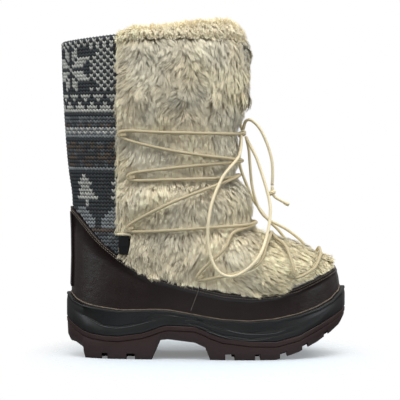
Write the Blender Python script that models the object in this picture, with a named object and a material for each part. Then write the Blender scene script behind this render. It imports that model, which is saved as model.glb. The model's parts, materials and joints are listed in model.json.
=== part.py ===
"""A fur boot for the right foot, as separate closed solids.

The boot stands on its sole. The origin is on the floor under the middle of the heel, +X runs to the
toe, +Y to the inner side of the foot and +Z up. Lengths are in metres.
"""

import math

import bpy
import bmesh
import numpy as np
from mathutils import Vector
from mathutils.bvhtree import BVHTree

MM = 0.001

# Driving sizes of the boot
SOLE_LENGTH = 0.290
HEEL_SEAT = 0.0535       # from the back of the sole to the middle of the heel
BALL_WIDTH = 0.112       # the sole across the ball of the foot
END_WELT = 0.007         # how far the sole stands out at heel and toe
SIDE_WELT = 0.0055       # how far it stands out along the sides
SOLE_HEIGHT = 0.0613     # floor to the midsole's rim at the heel
INSTEP_HEIGHT = 0.130
COLLAR_HEIGHT = 0.330
COLLAR_DROP = 0.0065     # how much lower the collar is at the back
SHAFT_WIDTH = 0.088
TOE_SPRING = 0.035
SPRING_START = 0.736     # share of the sole's length where the toe starts to rise
ARCH_HEIGHT = 0.021

# Layers and clearances
GAP = 0.0003             # between two pieces that meet
SEAT = 0.0006            # under what stands on the curved foot bed
WALL = 0.004             # knit and fleece lining together
RAND = 0.0022            # leather
BINDING = 0.0006         # how far the rand's bound edge stands out
BINDING_WIDTH = 0.005
INSOLE = 0.005
INSOLE_ROOM = 0.0018     # the insole is cut this much smaller than the lining
STAY = 0.0013
FUR_PILE = 0.0175        # the coat where it is deepest
ROLL_HEIGHT = 0.0165     # the fur roll on the rim
LACE = 0.0032
LIP_DEPTH = 0.006        # the outsole's cup over the midsole
LIP_WALL = 0.003
BAND = 0.0054            # the outsole's rim band
TREAD_DEPTH = 0.0062
GROOVE = 0.001

# The upper's form in level sections. Height runs from the floor, 0, by the instep, 1, to the collar, 2.
# Back and front are shares of the sole's length, width is a share of the shaft's or foot's own width,
# and foot says how far a section has changed from the oval shaft to the shaped foot.
FORM = {
    "height": [0.154, 0.385, 0.477, 0.554, 0.631, 0.685, 0.723, 0.754, 0.785, 0.815, 0.846, 0.877,
               0.900, 0.923, 0.954, 1.00, 1.05, 1.10, 1.20, 1.29, 1.375, 1.56, 1.76, 1.88, 2.0],
    "back": [0.0241, 0.0241, 0.0250, 0.0262, 0.0275, 0.0283, 0.0290, 0.0293, 0.0294, 0.0294, 0.0294,
             0.0293, 0.0292, 0.0291, 0.0290, 0.0286, 0.0272, 0.0259, 0.0221, 0.0128, 0.0066, -0.0028,
             -0.0097, -0.0150, -0.0128],
    "front": [0.9759, 0.9759, 0.9759, 0.9724, 0.9672, 0.9586, 0.9448, 0.9190, 0.8707, 0.8293, 0.7845,
              0.7362, 0.7017, 0.6741, 0.6569, 0.6397, 0.6241, 0.6155, 0.5914, 0.5776, 0.5810, 0.5931,
              0.6000, 0.6017, 0.6017],
    "width": [0.995, 1.0, 1.03, 1.055, 1.065, 1.061, 1.05, 1.04, 1.036, 1.023, 1.01, 1.0, 0.992, 0.984,
              0.973, 0.955, 0.938, 0.928, 0.920, 0.930, 0.955, 0.99, 1.0, 1.0, 1.0],
    "foot": [1, 1, 1, 1, 1, 1, 0.95, 0.88, 0.85, 0.78, 0.70, 0.65, 0.60, 0.55, 0.45, 0.30, 0.20, 0.10,
             0.05, 0, 0, 0, 0, 0, 0],
}

# The foot seen from above, from heel, -1, to toe, 1: width, and shift to the inner side.
PLAN = {
    "place": [-1, -0.7, -0.4, -0.15, 0.1, 0.35, 0.6, 0.8, 1],
    "width": [0.95, 0.92, 0.86, 0.84, 0.92, 1.02, 1.08, 1.08, 1.05],
    "shift": [0, 0, -0.02, -0.05, -0.05, -0.01, 0.05, 0.10, 0.14],
}
SHAFT_POWER = 2.2
FOOT_POWER = 2.9

# The sole's side, along its length: the midsole's rim, the joint with the outsole and the foot bed,
# as shares of the sole's height above the toe's rise.
RIM = {
    "along": [0, 0.018, 0.036, 0.127, 0.219, 0.310, 0.402, 0.457, 0.584, 0.676, 0.767, 0.858, 0.973, 1],
    "height": [1.08, 1.0, 0.94, 0.848, 0.808, 0.830, 0.808, 0.746, 0.660, 0.644, 0.678, 0.605, 0.54, 0.60],
}
JOINT = {
    "along": [0, 0.009, 0.054, 0.127, 0.2, 0.274, 0.357, 0.402, 0.466, 0.539, 0.629, 0.722, 0.813,
              0.831, 0.842, 0.894, 0.947, 1],
    "height": [0.66, 0.635, 0.483, 0.396, 0.383, 0.440, 0.569, 0.594, 0.548, 0.396, 0.321, 0.310, 0.287,
               0.287, 0.326, 0.294, 0.274, 0.245],
}
BED = {
    "along": [0, 0.045, 0.2, 0.40, 0.46, 0.54, 0.633, 0.70, 0.822, 0.96],
    "height": [0.65, 0.625, 0.59, 0.615, 0.575, 0.475, 0.424, 0.432, 0.383, 0.204],
}
BED_RISE = 0.001         # least height of the foot bed over the joint, so that the cup keeps its wall

# The tread's underside along its length, as a share of the arch's height.
GROUND = {
    "along": [0, 0.026, 0.0603, 0.0638, 0.3086, 0.3397, 0.371, 0.402, 0.457, 0.495, 0.512, 1],
    "height": [0.76, 0.74, 0.48, 0, 0, 0.95, 1.0, 0.976, 0.843, 0.595, 0, 0],
}

# The two grooves along the midsole's side: their height between joint and rim, and their depth.
UPPER_WAVE = {
    "along": [0, 0.08, 0.134, 0.2, 0.266, 0.32, 0.40, 0.445, 0.493, 0.572, 0.638, 0.703, 0.745, 0.85, 1],
    "height": [0.60, 0.60, 0.40, 0.39, 0.45, 0.58, 0.61, 0.60, 0.56, 0.50, 0.44, 0.47, 0.54, 0.58, 0.6],
    "depth": [0, 0.6, 1, 1, 1, 0.5, 0, 0.6, 1, 1, 1, 1, 0.5, 0, 0],
}
LOWER_WAVE = {
    "along": [0, 0.40, 0.46, 0.52, 0.586, 0.665, 0.73, 0.77, 0.85, 1],
    "height": [0.2, 0.30, 0.24, 0.22, 0.15, 0.15, 0.25, 0.34, 0.3, 0.3],
    "depth": [0, 0, 1, 1, 1, 1, 1, 0.4, 0, 0],
}

# The rand's top edge along the foot, in the heights of FORM.
RAND_TOP = {
    "along": [0.0224, 0.054, 0.1, 0.155, 0.2, 0.274, 0.402, 0.493, 0.629, 0.767, 0.858, 0.959, 0.984],
    "height": [1.13, 1.083, 1.0, 0.879, 0.799, 0.695, 0.615, 0.565, 0.5115, 0.535, 0.608, 0.707, 0.738],
}

# The fur coat: its back edge, and its depth up the front as a share of the pile.
FUR_EDGE = 0.193
COAT = {
    "height": [0.68, 0.76, 0.82, 0.86, 0.92, 0.985, 1.03, 1.075, 1.14, 1.21, 1.27, 1.325, 1.365, 1.425,
               1.505, 1.575, 1.665, 1.85, 1.93, 2.0],
    "depth": [0.34, 0.50, 0.56, 0.58, 0.57, 0.55, 0.57, 0.72, 1.0, 0.86, 0.43, 0.56, 0.46, 0.52, 0.35,
              0.58, 0.86, 0.91, 0.88, 0.62],
}
ROLL = {
    "across": [0, 0.25, 0.4, 0.6, 0.75, 0.9, 1.0],
    "height": [0.80, 1.0, 0.97, 0.76, 0.58, 0.5, 0.36],
}

# Lace loops, from the toe up, and the points where the lace crosses the front. Slope says how steeply
# a strand still climbs where it crosses, and sag how far it hangs down near the loop below.
LOOPS = {
    "along": [0.794, 0.486, 0.2385, 0.2415, 0.212],
    "height": [0.672, 0.664, 1.023, 1.285, 1.4985],
}
CROSSINGS = {
    "height": [0.769, 0.885, 1.008, 1.27, 1.365, 1.505],
    "slope": [0.12, 0.12, 0.4, 0.4, 0.4, 0.4],
    "sag": [0.003, 0.009, 0, 0, 0, 0],
}

# Columns of the grid that upper, rand, stay and fur share: the fur's part and the knit's part
FRONT_COLUMNS = 22
BACK_COLUMNS = 12

# Rows of that grid: 0 on the foot bed, 0.3 at the midsole's rim, 1 at the rand's top edge, 2 at the knee
# of the instep and 3 at the collar. The coat has extra rows where the lace draws it in.
KNEE = 1.10
LOW_ROWS = [0, 0.3, 0.6, 0.8, 1]
INSTEP_ROWS = [1.1, 1.2, 1.3, 1.41, 1.52, 1.68, 2]
SHAFT_ROWS = [2.122, 2.256, 2.45, 2.694, 3]
LINING_ROWS = [0, 1, 1.2, 1.41, 1.6, 2, 2.256, 2.6, 3]
COAT_ROWS = [1.1, 1.2, 1.3, 1.41, 1.52, 1.68, 1.84, 2, 2.056, 2.122, 2.189, 2.256, 2.344, 2.45, 2.544,
             2.694, 2.93, 3]


def curve(places, values):
    """Return a smooth function through the points that never swings past them (monotone cubic)."""
    xs = np.asarray(places, float)
    ys = np.asarray(values, float)
    steps = np.diff(xs)
    slopes = np.diff(ys) / steps
    tangents = np.zeros(len(xs))
    tangents[0], tangents[-1] = slopes[0], slopes[-1]
    for i in range(1, len(xs) - 1):
        if slopes[i - 1] * slopes[i] > 0:
            first = 2 * steps[i] + steps[i - 1]
            second = steps[i] + 2 * steps[i - 1]
            tangents[i] = (first + second) / (first / slopes[i - 1] + second / slopes[i])

    def value(x):
        x = min(max(x, xs[0]), xs[-1])
        i = min(int(np.searchsorted(xs, x, side="right")) - 1, len(xs) - 2)
        i = max(i, 0)
        t = (x - xs[i]) / steps[i]
        low = (1 + 2 * t) * (1 - t) ** 2 * ys[i] + t * (1 - t) ** 2 * steps[i] * tangents[i]
        high = t * t * (3 - 2 * t) * ys[i + 1] + t * t * (t - 1) * steps[i] * tangents[i + 1]
        return float(low + high)

    return value


def along(share):
    """X at a share of the sole's length."""
    return share * SOLE_LENGTH - HEEL_SEAT


def level(share):
    """Z at a share of the height: 0 on the floor, 1 at the instep, 2 at the collar."""
    return float(np.interp(share, [0, 1, 2], [0, INSTEP_HEIGHT, COLLAR_HEIGHT]))


def levels(shares):
    return [level(share) for share in shares]


def alongs(shares):
    return [along(share) for share in shares]


def blend(low, high, share):
    return low + (high - low) * share


form_back = curve(levels(FORM["height"]), alongs(FORM["back"]))
form_front = curve(levels(FORM["height"]), alongs(FORM["front"]))
form_width = curve(levels(FORM["height"]), FORM["width"])
form_foot = curve(levels(FORM["height"]), FORM["foot"])
plan_width = curve(PLAN["place"], PLAN["width"])
plan_shift = curve(PLAN["place"], PLAN["shift"])
foot_half_width = (BALL_WIDTH / 2 - SIDE_WELT) / max(PLAN["width"])

rim_share = curve(alongs(RIM["along"]), RIM["height"])
joint_share = curve(alongs(JOINT["along"]), JOINT["height"])
bed_share = curve(alongs(BED["along"]), BED["height"])
upper_wave = curve(alongs(UPPER_WAVE["along"]), UPPER_WAVE["height"])
upper_wave_depth = curve(alongs(UPPER_WAVE["along"]), UPPER_WAVE["depth"])
lower_wave = curve(alongs(LOWER_WAVE["along"]), LOWER_WAVE["height"])
lower_wave_depth = curve(alongs(LOWER_WAVE["along"]), LOWER_WAVE["depth"])
rand_top = curve(alongs(RAND_TOP["along"]), levels(RAND_TOP["height"]))
coat_depth = curve(levels(COAT["height"]), COAT["depth"])
roll_height = curve(ROLL["across"], ROLL["height"])


def spring(x):
    """How far the floor side of the sole has risen towards the toe."""
    start = along(SPRING_START)
    share = max(0.0, (x - start) / (along(1) - start))
    return TOE_SPRING * share ** 1.5


def rim(x):
    return rim_share(x) * SOLE_HEIGHT + spring(x)


def joint(x):
    return joint_share(x) * SOLE_HEIGHT + spring(x)


def joint_inside(x):
    return joint(x) - LIP_DEPTH


def bed(x):
    return max(bed_share(x) * SOLE_HEIGHT + spring(x), joint(x) + BED_RISE)


def ground(x):
    return float(np.interp(x, alongs(GROUND["along"]), GROUND["height"])) * ARCH_HEIGHT + spring(x)


def form(angle, z):
    """The upper's outer form at a height; angle 0 is the toe's side and a quarter turn the inner side."""
    back, front = form_back(z), form_front(z)
    foot = form_foot(z)
    place = math.cos(angle)
    half_width = blend(SHAFT_WIDTH / 2, foot_half_width, foot) * form_width(z)
    half_width *= blend(1, plan_width(place), foot)
    power = blend(SHAFT_POWER, FOOT_POWER, foot)
    reach = math.sqrt(max(0.0, 1 - abs(place) ** power))
    x = (front + back) / 2 + (front - back) / 2 * place
    y = math.copysign(half_width * reach, math.sin(angle)) + plan_shift(place) * foot_half_width * foot
    return np.array([x, y, z])


def form_normal(angle, z):
    step_round, step_up = 0.02, 0.0012
    around = form(angle + step_round, z) - form(angle - step_round, z)
    upward = form(angle, z + step_up) - form(angle, z - step_up)
    normal = np.cross(around, upward)
    return normal / np.linalg.norm(normal)


def offset(angle, z, distance):
    return form(angle, z) + form_normal(angle, z) * distance


def edge_angle(z):
    """Where the fur ends at the side, at a height."""
    back, front = form_back(z), form_front(z)
    place = (along(FUR_EDGE) - (front + back) / 2) / ((front - back) / 2)
    return math.acos(place)


def column_angle(column, z):
    """Columns -1 to 1 cover the fur from outer to inner side, and 1 to 3 the knit round the back."""
    edge = edge_angle(z)
    if column <= 1:
        return column * edge
    return edge + (column - 1) / 2 * (2 * math.pi - 2 * edge)


def column_height(column, top_edge):
    """Height at which a column of the grid crosses a line given as a height for each x."""
    low, high = level(0.2), level(1.5)
    for _ in range(30):
        middle = (low + high) / 2
        if middle < top_edge(form(column_angle(column, middle), middle)[0]):
            low = middle
        else:
            high = middle
    return (low + high) / 2


def collar(column):
    x = form(column_angle(column, COLLAR_HEIGHT), COLLAR_HEIGHT)[0]
    edge, back = along(FUR_EDGE), form_back(COLLAR_HEIGHT)
    return COLLAR_HEIGHT - COLLAR_DROP * max(0.0, (edge - x) / (edge - back))


def knee(column):
    """Upper end of the instep's rows, lifted at the back to clear the rand."""
    lift = math.sin(math.pi * (column - 1) / 2) ** 2 if column > 1 else 0
    return level(KNEE + 0.2 * lift)


OUTLINE_HEIGHT = level(FORM["height"][1])


def sole_point(angle, z, inset):
    """A point of the sole's outline, which stands out from the foot all round."""
    welt = blend(SIDE_WELT, END_WELT, math.cos(angle) ** 4)
    x, y, _ = offset(angle, OUTLINE_HEIGHT, welt - inset)
    return np.array([x, y, z])


def station(angle):
    """The x that both ends of a rung across the sole share."""
    return (sole_point(angle, 0, 0)[0] + sole_point(-angle, 0, 0)[0]) / 2


def station_angle(x):
    low, high = 0.0, math.pi
    for _ in range(30):
        middle = (low + high) / 2
        if station(middle) > x:
            low = middle
        else:
            high = middle
    return (low + high) / 2


class Column:
    """One column of the shared grid, with the heights of its main rows."""

    def __init__(self, column):
        self.column = column
        self.floor_angle = column_angle(column, OUTLINE_HEIGHT)
        self.rim = rim(station(self.floor_angle))
        self.rand_top = column_height(column, rand_top)
        self.collar = collar(column)

    def floor(self, distance):
        """Height of the foot bed where the wall at this distance from the form stands on it."""
        both = [offset(angle, OUTLINE_HEIGHT, distance)[0] for angle in (self.floor_angle, -self.floor_angle)]
        return bed(sum(both) / 2)

    def height(self, row, distance=0.0):
        stops = [self.floor(distance) + SEAT, self.rim, self.rand_top, knee(self.column), self.collar]
        return float(np.interp(row, [0, 0.3, 1, 2, 3], stops))

    def point(self, row, distance, raise_by=0.0):
        return self.point_at(self.height(row, distance) + raise_by, distance)

    def point_at(self, z, distance):
        return offset(column_angle(self.column, z), z, distance)


front_columns = [Column(-1 + 2 * i / FRONT_COLUMNS) for i in range(FRONT_COLUMNS + 1)]
back_columns = [Column(1 + 2 * i / BACK_COLUMNS) for i in range(1, BACK_COLUMNS)]
all_columns = front_columns + back_columns


def material(name, colour, roughness, metallic=0.0):
    made = bpy.data.materials.new(name)
    made.use_nodes = True
    shader = made.node_tree.nodes["Principled BSDF"]
    shader.inputs["Base Color"].default_value = (*colour, 1)
    shader.inputs["Roughness"].default_value = roughness
    shader.inputs["Metallic"].default_value = metallic
    made.diffuse_color = (*colour, 1)
    return made


def mesh_object(name, points, faces, finish, smooth_angle=35):
    mesh = bpy.data.meshes.new(name)
    mesh.from_pydata([tuple(point) for point in points], [], faces)
    mesh.materials.append(finish)
    mesh.shade_smooth()
    mesh.set_sharp_from_angle(angle=math.radians(smooth_angle))
    made = bpy.data.objects.new(name, mesh)
    bpy.context.scene.collection.objects.link(made)
    return made


def strip(faces, first, second, closed=True, mirrored=False):
    """Triangles between two rows of point numbers. The mirrored split, on the way down an inner wall,
    lays its diagonals over those of the way up, so that nested walls keep their distance."""
    count = len(first)
    for i in range(count if closed else count - 1):
        j = (i + 1) % count
        if mirrored:
            faces.append((first[i], first[j], second[i]))
            faces.append((first[j], second[j], second[i]))
        else:
            faces.append((first[i], first[j], second[j]))
            faces.append((first[i], second[j], second[i]))


def ladder(faces, loop, upward):
    """Close a loop that runs from toe to heel and back with rungs across it."""
    count = len(loop)
    for i in range(count // 2):
        near, far = loop[i], loop[(count - i) % count]
        near_next, far_next = loop[i + 1], loop[(count - i - 1) % count]
        for face in ((far, near, near_next), (far, near_next, far_next)):
            if len(set(face)) == 3:
                faces.append(face if upward else face[::-1])


def number_rows(rows):
    """Flat list of points and the matching rows of point numbers."""
    points = [point for row in rows for point in row]
    starts = np.cumsum([0] + [len(row) for row in rows])
    return points, [list(range(starts[i], starts[i + 1])) for i in range(len(rows))]


def ring_solid(name, rows, finish):
    """A wall round the foot: closed rows up the outside and down the inside."""
    points, numbers = number_rows(rows)
    faces = []
    for i in range(len(rows)):
        j = (i + 1) % len(rows)
        strip(faces, numbers[i], numbers[j], mirrored=rows[j][0][2] < rows[i][0][2])
    return mesh_object(name, points, faces, finish)


def block_solid(name, rows, finish):
    """Closed rows from the bottom outward, up and inward again, with a ladder at each end."""
    points, numbers = number_rows(rows)
    faces = []
    ladder(faces, numbers[0], upward=False)
    for i in range(len(rows) - 1):
        strip(faces, numbers[i], numbers[i + 1], mirrored=rows[i + 1][0][2] < rows[i][0][2])
    ladder(faces, numbers[-1], upward=True)
    return mesh_object(name, points, faces, finish)


def patch_solid(name, outer, inner, finish):
    """An open patch with thickness: outer rows bottom to top, inner rows bottom to top."""
    points, numbers = number_rows(outer + inner)
    outside, inside = numbers[:len(outer)], numbers[len(outer):]
    faces = []
    for i in range(len(outer) - 1):
        strip(faces, outside[i], outside[i + 1], closed=False)
    for i in range(len(inner) - 1):
        strip(faces, inside[i + 1], inside[i], closed=False, mirrored=True)
    strip(faces, inside[0], outside[0], closed=False)
    strip(faces, outside[-1], inside[-1], closed=False)
    for side in (0, -1):
        side_loop = [row[side] for row in outside] + [row[side] for row in reversed(inside)]
        faces.extend(fill_side(points, side_loop, flip=side == -1))
    return mesh_object(name, points, faces, finish)


def fill_side(points, loop, flip):
    """Triangles over a long thin side, walked from its bottom edge upward along both borders."""
    faces = []
    low, high = 0, len(loop) - 1
    while high - low > 1:
        step_up = points[loop[low + 1]][2]
        step_down = points[loop[high - 1]][2]
        if step_up <= step_down:
            faces.append((loop[low], loop[low + 1], loop[high]))
            low += 1
        else:
            faces.append((loop[low], loop[high - 1], loop[high]))
            high -= 1
    return [face[::-1] for face in faces] if flip else faces


def tube_solid(name, sections, finish):
    """Closed sections joined one to the next, with a flat cap at each end."""
    points, numbers = number_rows(sections)
    faces = []
    for i in range(len(sections) - 1):
        strip(faces, numbers[i], numbers[i + 1])
    first, last = numbers[0], numbers[-1]
    for i in range(1, len(first) - 1):
        faces.append((first[0], first[i + 1], first[i]))
        faces.append((last[0], last[i], last[i + 1]))
    return mesh_object(name, points, faces, finish)


def bake(target):
    """Replace an object's mesh by its evaluated one, so that its modifiers are used up."""
    evaluated = target.evaluated_get(bpy.context.evaluated_depsgraph_get())
    baked = bpy.data.meshes.new_from_object(evaluated)
    target.modifiers.clear()
    target.data = baked


def combine(target, tool, operation):
    """Cut a helper solid out of an object or fuse it on, and remove the helper."""
    modifier = target.modifiers.new(tool.name, "BOOLEAN")
    modifier.operation = operation
    modifier.solver = "EXACT"
    modifier.object = tool
    bake(target)
    bpy.data.objects.remove(tool)


def gather(name, solids, finish):
    """One mesh from several (points, faces) pairs that don't touch each other."""
    points, faces = [], []
    for solid_points, solid_faces in solids:
        start = len(points)
        points.extend(solid_points)
        faces.extend(tuple(start + number for number in face) for face in solid_faces)
    return mesh_object(name, points, faces, finish)


def clear_scene():
    for old in list(bpy.data.objects):
        bpy.data.objects.remove(old)


clear_scene()

rubber_brown = material("rubber_brown", (0.045, 0.022, 0.018), 0.7)
rubber_charcoal = material("rubber_charcoal", (0.022, 0.024, 0.025), 0.65)
knit_wool = material("knit_wool", (0.22, 0.22, 0.22), 0.95)
leather_dark = material("leather_dark", (0.022, 0.015, 0.013), 0.5)
fur_cream = material("fur_cream", (0.72, 0.64, 0.47), 0.95)
lace_cord = material("lace_cord", (0.66, 0.58, 0.42), 0.85)
felt_grey = material("felt_grey", (0.30, 0.28, 0.25), 0.9)
tab_black = material("tab_black", (0.015, 0.015, 0.016), 0.8)

# Sole
STEP_ROOM = 0.035        # a column this near to a step in the tread, in radians, gives way to it


def sole_half_loop():
    """Pairs of angle and grid column from toe to heel, with the tread's steps among the columns. A step
    that falls between two columns gets the share of the way between them."""
    half = [column for column in all_columns if 0 <= column.column <= 2]
    column_angles = [column.floor_angle for column in half]
    steps = [station_angle(along(GROUND["along"][i])) for i in (2, 3, 4, 5, 9, 10)]
    pairs = []
    for step in steps:
        nearest = min(range(len(half)), key=lambda i: abs(column_angles[i] - step))
        if abs(column_angles[nearest] - step) < STEP_ROOM:
            pairs.append((step, float(nearest)))
        else:
            pairs.append((step, float(np.interp(step, column_angles, range(len(half))))))
    taken = {place for _, place in pairs}
    pairs += [(angle, float(i)) for i, angle in enumerate(column_angles) if i not in taken]
    return sorted(pairs)


half_loop = sole_half_loop()
angles = [angle for angle, _ in half_loop] + [-angle for angle, _ in half_loop[-2:0:-1]]
places = [place for _, place in half_loop] + [-place for _, place in half_loop[-2:0:-1]]
stations = [station(angle) for angle in angles]


def sole_row(height, inset):
    """One loop round the sole; height and inset are functions of x, or inset is a length."""
    depth = inset if callable(inset) else lambda x: inset
    return [sole_point(angle, height(x), depth(x)) for angle, x in zip(angles, stations)]


def grid_column(place):
    """The grid's column at a whole number of steps from the toe's, counted to the inner side."""
    return all_columns[(FRONT_COLUMNS // 2 + place) % len(all_columns)]


def foot_row(distance, rise=None):
    """One loop round the foot on the facets of the walls that stand in the cup: at the rim's height,
    or with rise at that height over the foot bed."""
    row = []
    for place, x in zip(places, stations):
        below = math.floor(place)
        ends = []
        for number in (below, below + 1):
            column = grid_column(number)
            z = column.rim if rise is None else column.floor(distance) + rise
            ends.append(column.point_at(z, distance))
        spot = blend(ends[0], ends[1], place - below)
        row.append(np.array([spot[0], spot[1], rim(x)]) if rise is None else spot)
    return row


def between(share_curve, rise):
    """Height at a share of the way from the joint to the rim, plus a rise."""
    return lambda x: blend(joint(x), rim(x), share_curve(x)) + rise


def above(line, rise):
    return lambda x: line(x) + rise


outsole = block_solid("outsole", [
    sole_row(ground, 4.0 * MM),
    sole_row(above(ground, TREAD_DEPTH), 1.2 * MM),
    sole_row(above(joint, -BAND - 0.8 * MM), 0.6 * MM),
    sole_row(above(joint, -BAND), 0.6 * MM + GROOVE),
    sole_row(above(joint, -BAND + 0.8 * MM), 0.2 * MM),
    sole_row(above(joint, -0.7 * MM), 0),
    sole_row(joint, 0.7 * MM),
    sole_row(joint, LIP_WALL),
    sole_row(joint_inside, LIP_WALL),
], rubber_brown)

cup = RAND + 2 * GAP
groove_half = 1.1 * MM
midsole = block_solid("midsole", [
    sole_row(above(joint_inside, GAP), LIP_WALL + GAP),
    sole_row(above(joint, GAP), LIP_WALL + GAP),
    sole_row(above(joint, GAP), 0.5 * MM),
    sole_row(above(joint, 1.2 * MM), 0),
    sole_row(between(lower_wave, -groove_half), 0),
    sole_row(between(lower_wave, 0), lambda x: GROOVE * lower_wave_depth(x)),
    sole_row(between(lower_wave, groove_half), 0),
    sole_row(between(upper_wave, -groove_half), 0),
    sole_row(between(upper_wave, 0), lambda x: GROOVE * upper_wave_depth(x)),
    sole_row(between(upper_wave, groove_half), 0),
    sole_row(above(rim, -3.2 * MM), 0.7 * MM),
    sole_row(above(rim, -2.4 * MM), 0),
    sole_row(above(rim, -0.6 * MM), 0.2 * MM),
    sole_row(rim, 1.0 * MM),
    foot_row(cup),
    foot_row(cup, rise=0),
], rubber_charcoal)

insole = block_solid("insole", [
    foot_row(-WALL - INSOLE_ROOM, rise=SEAT),
    foot_row(-WALL - INSOLE_ROOM, rise=SEAT + INSOLE),
], felt_grey)

# Tread. Gaps run in from both sides, channels run along, and shorter gaps cross the middle.
SIDE_GAPS = {
    "start": [0.1307, 0.2186, 0.567, 0.672, 0.760, 0.839, 0.918],
    "end": [0.1521, 0.249, 0.600, 0.690, 0.784, 0.858, 0.932],
}
MIDDLE_GAPS = {
    "start": [0.568, 0.690, 0.790, 0.876],
    "end": [0.590, 0.708, 0.808, 0.894],
}
CHANNELS = {
    "start": [0.055, 0.505],
    "end": [0.32, 0.95],
    "half_width": [0.0145, 0.0175],
}
CHANNEL_WIDTH = 0.0035


def middle_line(x):
    """The tread's middle, which swings with the foot."""
    back, front = along(0), along(1)
    place = (x - (back + front) / 2) / ((front - back) / 2)
    return plan_shift(place) * foot_half_width


def tread_cutter(start, end, low, high):
    """A box along the sole that follows the tread's underside, from low to high across it."""
    count = max(1, round((end - start) / 0.12))
    sections = []
    for i in range(count + 1):
        x = along(blend(start, end, i / count))
        top, bottom = ground(x) + TREAD_DEPTH, ground(x) - TREAD_DEPTH
        y_low, y_high = middle_line(x) + low, middle_line(x) + high
        sections.append([(x, y_low, bottom), (x, y_high, bottom), (x, y_high, top), (x, y_low, top)])
    points, numbers = number_rows(sections)
    faces = []
    for i in range(count):
        strip(faces, numbers[i], numbers[i + 1])
    faces.append(tuple(reversed(numbers[0])))
    faces.append(tuple(numbers[-1]))
    return points, faces


side_gaps, channels, middle_gaps = [], [], []
for start, end in zip(SIDE_GAPS["start"], SIDE_GAPS["end"]):
    inner = CHANNELS["half_width"][0 if end < 0.4 else 1] + CHANNEL_WIDTH / 2
    side_gaps.append(tread_cutter(start, end, inner, BALL_WIDTH))
    side_gaps.append(tread_cutter(start, end, -BALL_WIDTH, -inner))
for start, end, half in zip(CHANNELS["start"], CHANNELS["end"], CHANNELS["half_width"]):
    channels.append(tread_cutter(start, end, half, half + CHANNEL_WIDTH))
    channels.append(tread_cutter(start, end, -half - CHANNEL_WIDTH, -half))
for start, end in zip(MIDDLE_GAPS["start"], MIDDLE_GAPS["end"]):
    half = CHANNELS["half_width"][1] + CHANNEL_WIDTH / 2
    middle_gaps.append(tread_cutter(start, end, -half, half))
for name, cutters in (("channels", channels), ("side_gaps", side_gaps), ("middle_gaps", middle_gaps)):
    combine(outsole, gather(name, cutters, rubber_brown), "DIFFERENCE")

# Upper, rand and stay share the grid's rows, so that their facets lie over each other.
upper_rows = [[column.point(row, 0) for column in all_columns]
              for row in LOW_ROWS + INSTEP_ROWS + SHAFT_ROWS]
lining_rows = [[column.point(row, -WALL) for column in all_columns] for row in reversed(LINING_ROWS)]
upper = ring_solid("upper", upper_rows + lining_rows, knit_wool)


def rand_row(row, distance, drop=0.0):
    return [column.point(row, distance, -drop) for column in all_columns]


rand_outside = GAP + RAND
leather_rand = ring_solid("leather_rand", [
    *(rand_row(row, rand_outside) for row in LOW_ROWS[:-1]),
    rand_row(1, rand_outside, BINDING_WIDTH),
    rand_row(1, rand_outside + BINDING, BINDING_WIDTH - 0.3 * MM),
    rand_row(1, rand_outside + BINDING),
    *(rand_row(row, GAP) for row in reversed(LOW_ROWS)),
], leather_dark)

heel_columns = [column for column in back_columns if abs(column.column - 2) < 1.5 * 2 / BACK_COLUMNS]
stay_rows = [(0.36, 0), (0.6, 0), (0.8, 0), (1, BINDING_WIDTH + 0.5 * MM)]
stay_inside = rand_outside + GAP
back_stay = patch_solid(
    "back_stay",
    [[column.point(row, stay_inside + STAY, -drop) for column in heel_columns] for row, drop in stay_rows],
    [[column.point(row, stay_inside, -drop) for column in heel_columns] for row, drop in stay_rows],
    leather_dark)

# Fur coat. It thins towards its side edges and its hem.
EDGE_SHARE = 0.15        # part of the half width over which the side edge thins
EDGE_THINNING = 0.5
HEM_RISE = 0.014
HEM_THINNING = 0.35
SIDE_THINNING = 0.28
LEAST_SIDE_DEPTH = 0.55


def coat_offset(column, z, hem):
    """The coat's outer face over the form at a column of the fur, given the height of its hem."""
    across = abs(column)
    share = max(coat_depth(z), LEAST_SIDE_DEPTH * min(1, across / 0.35))
    share *= 1 - SIDE_THINNING * across ** 2
    share *= 1 - EDGE_THINNING * max(0, across - (1 - EDGE_SHARE)) / EDGE_SHARE
    share *= blend(1 - HEM_THINNING, 1, min(1, max(0, z - hem) / HEM_RISE))
    return FUR_PILE * share


def coat_point(column, row, raise_by=0.0):
    z = column.height(row) + raise_by
    return column.point(row, coat_offset(column.column, z, column.rand_top), raise_by)


coat_inside = GAP + 0.1 * MM
coat_outer = [[coat_point(column, 1, SEAT) for column in front_columns]]
coat_outer += [[coat_point(column, row) for column in front_columns] for row in COAT_ROWS]
coat_inner = [[column.point(1, coat_inside, SEAT) for column in front_columns]]
coat_inner += [[column.point(row, coat_inside) for column in front_columns]
               for row in INSTEP_ROWS + SHAFT_ROWS]
fur_front = patch_solid("fur_front", coat_outer, coat_inner, fur_cream)


def surface_of(target):
    """The mesh of an object as a tree that answers distances."""
    mesh = target.data
    return BVHTree.FromPolygons([vertex.co for vertex in mesh.vertices],
                                [tuple(face.vertices) for face in mesh.polygons])


# Lace. A strand runs over the fur from a crossing at the front to a loop at the side.
STRAND_STEPS = 4
LOOP_HALF_RUN = 3.6 * MM     # the lace's straight run through a loop, above and below its middle
KNOT_SHARE = 0.055           # where the top strands end beside the knot, as a share of their way
lace_lift = LACE / 2 + 2 * GAP
coat_surface = surface_of(fur_front)
loop_spots = []
for share, height in zip(LOOPS["along"], LOOPS["height"]):
    z = level(height)
    back, front = form_back(z), form_front(z)
    loop_spots.append((math.acos((along(share) - (front + back) / 2) / ((front - back) / 2)), z))


def over_coat(angle, z, lift):
    """A point over the fur at an angle and height, lift clear of the coat's smooth face."""
    column = angle / edge_angle(z)
    depth = coat_offset(column, z, rand_top(form(angle, z)[0]))
    return offset(angle, z, depth + lift)


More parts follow.
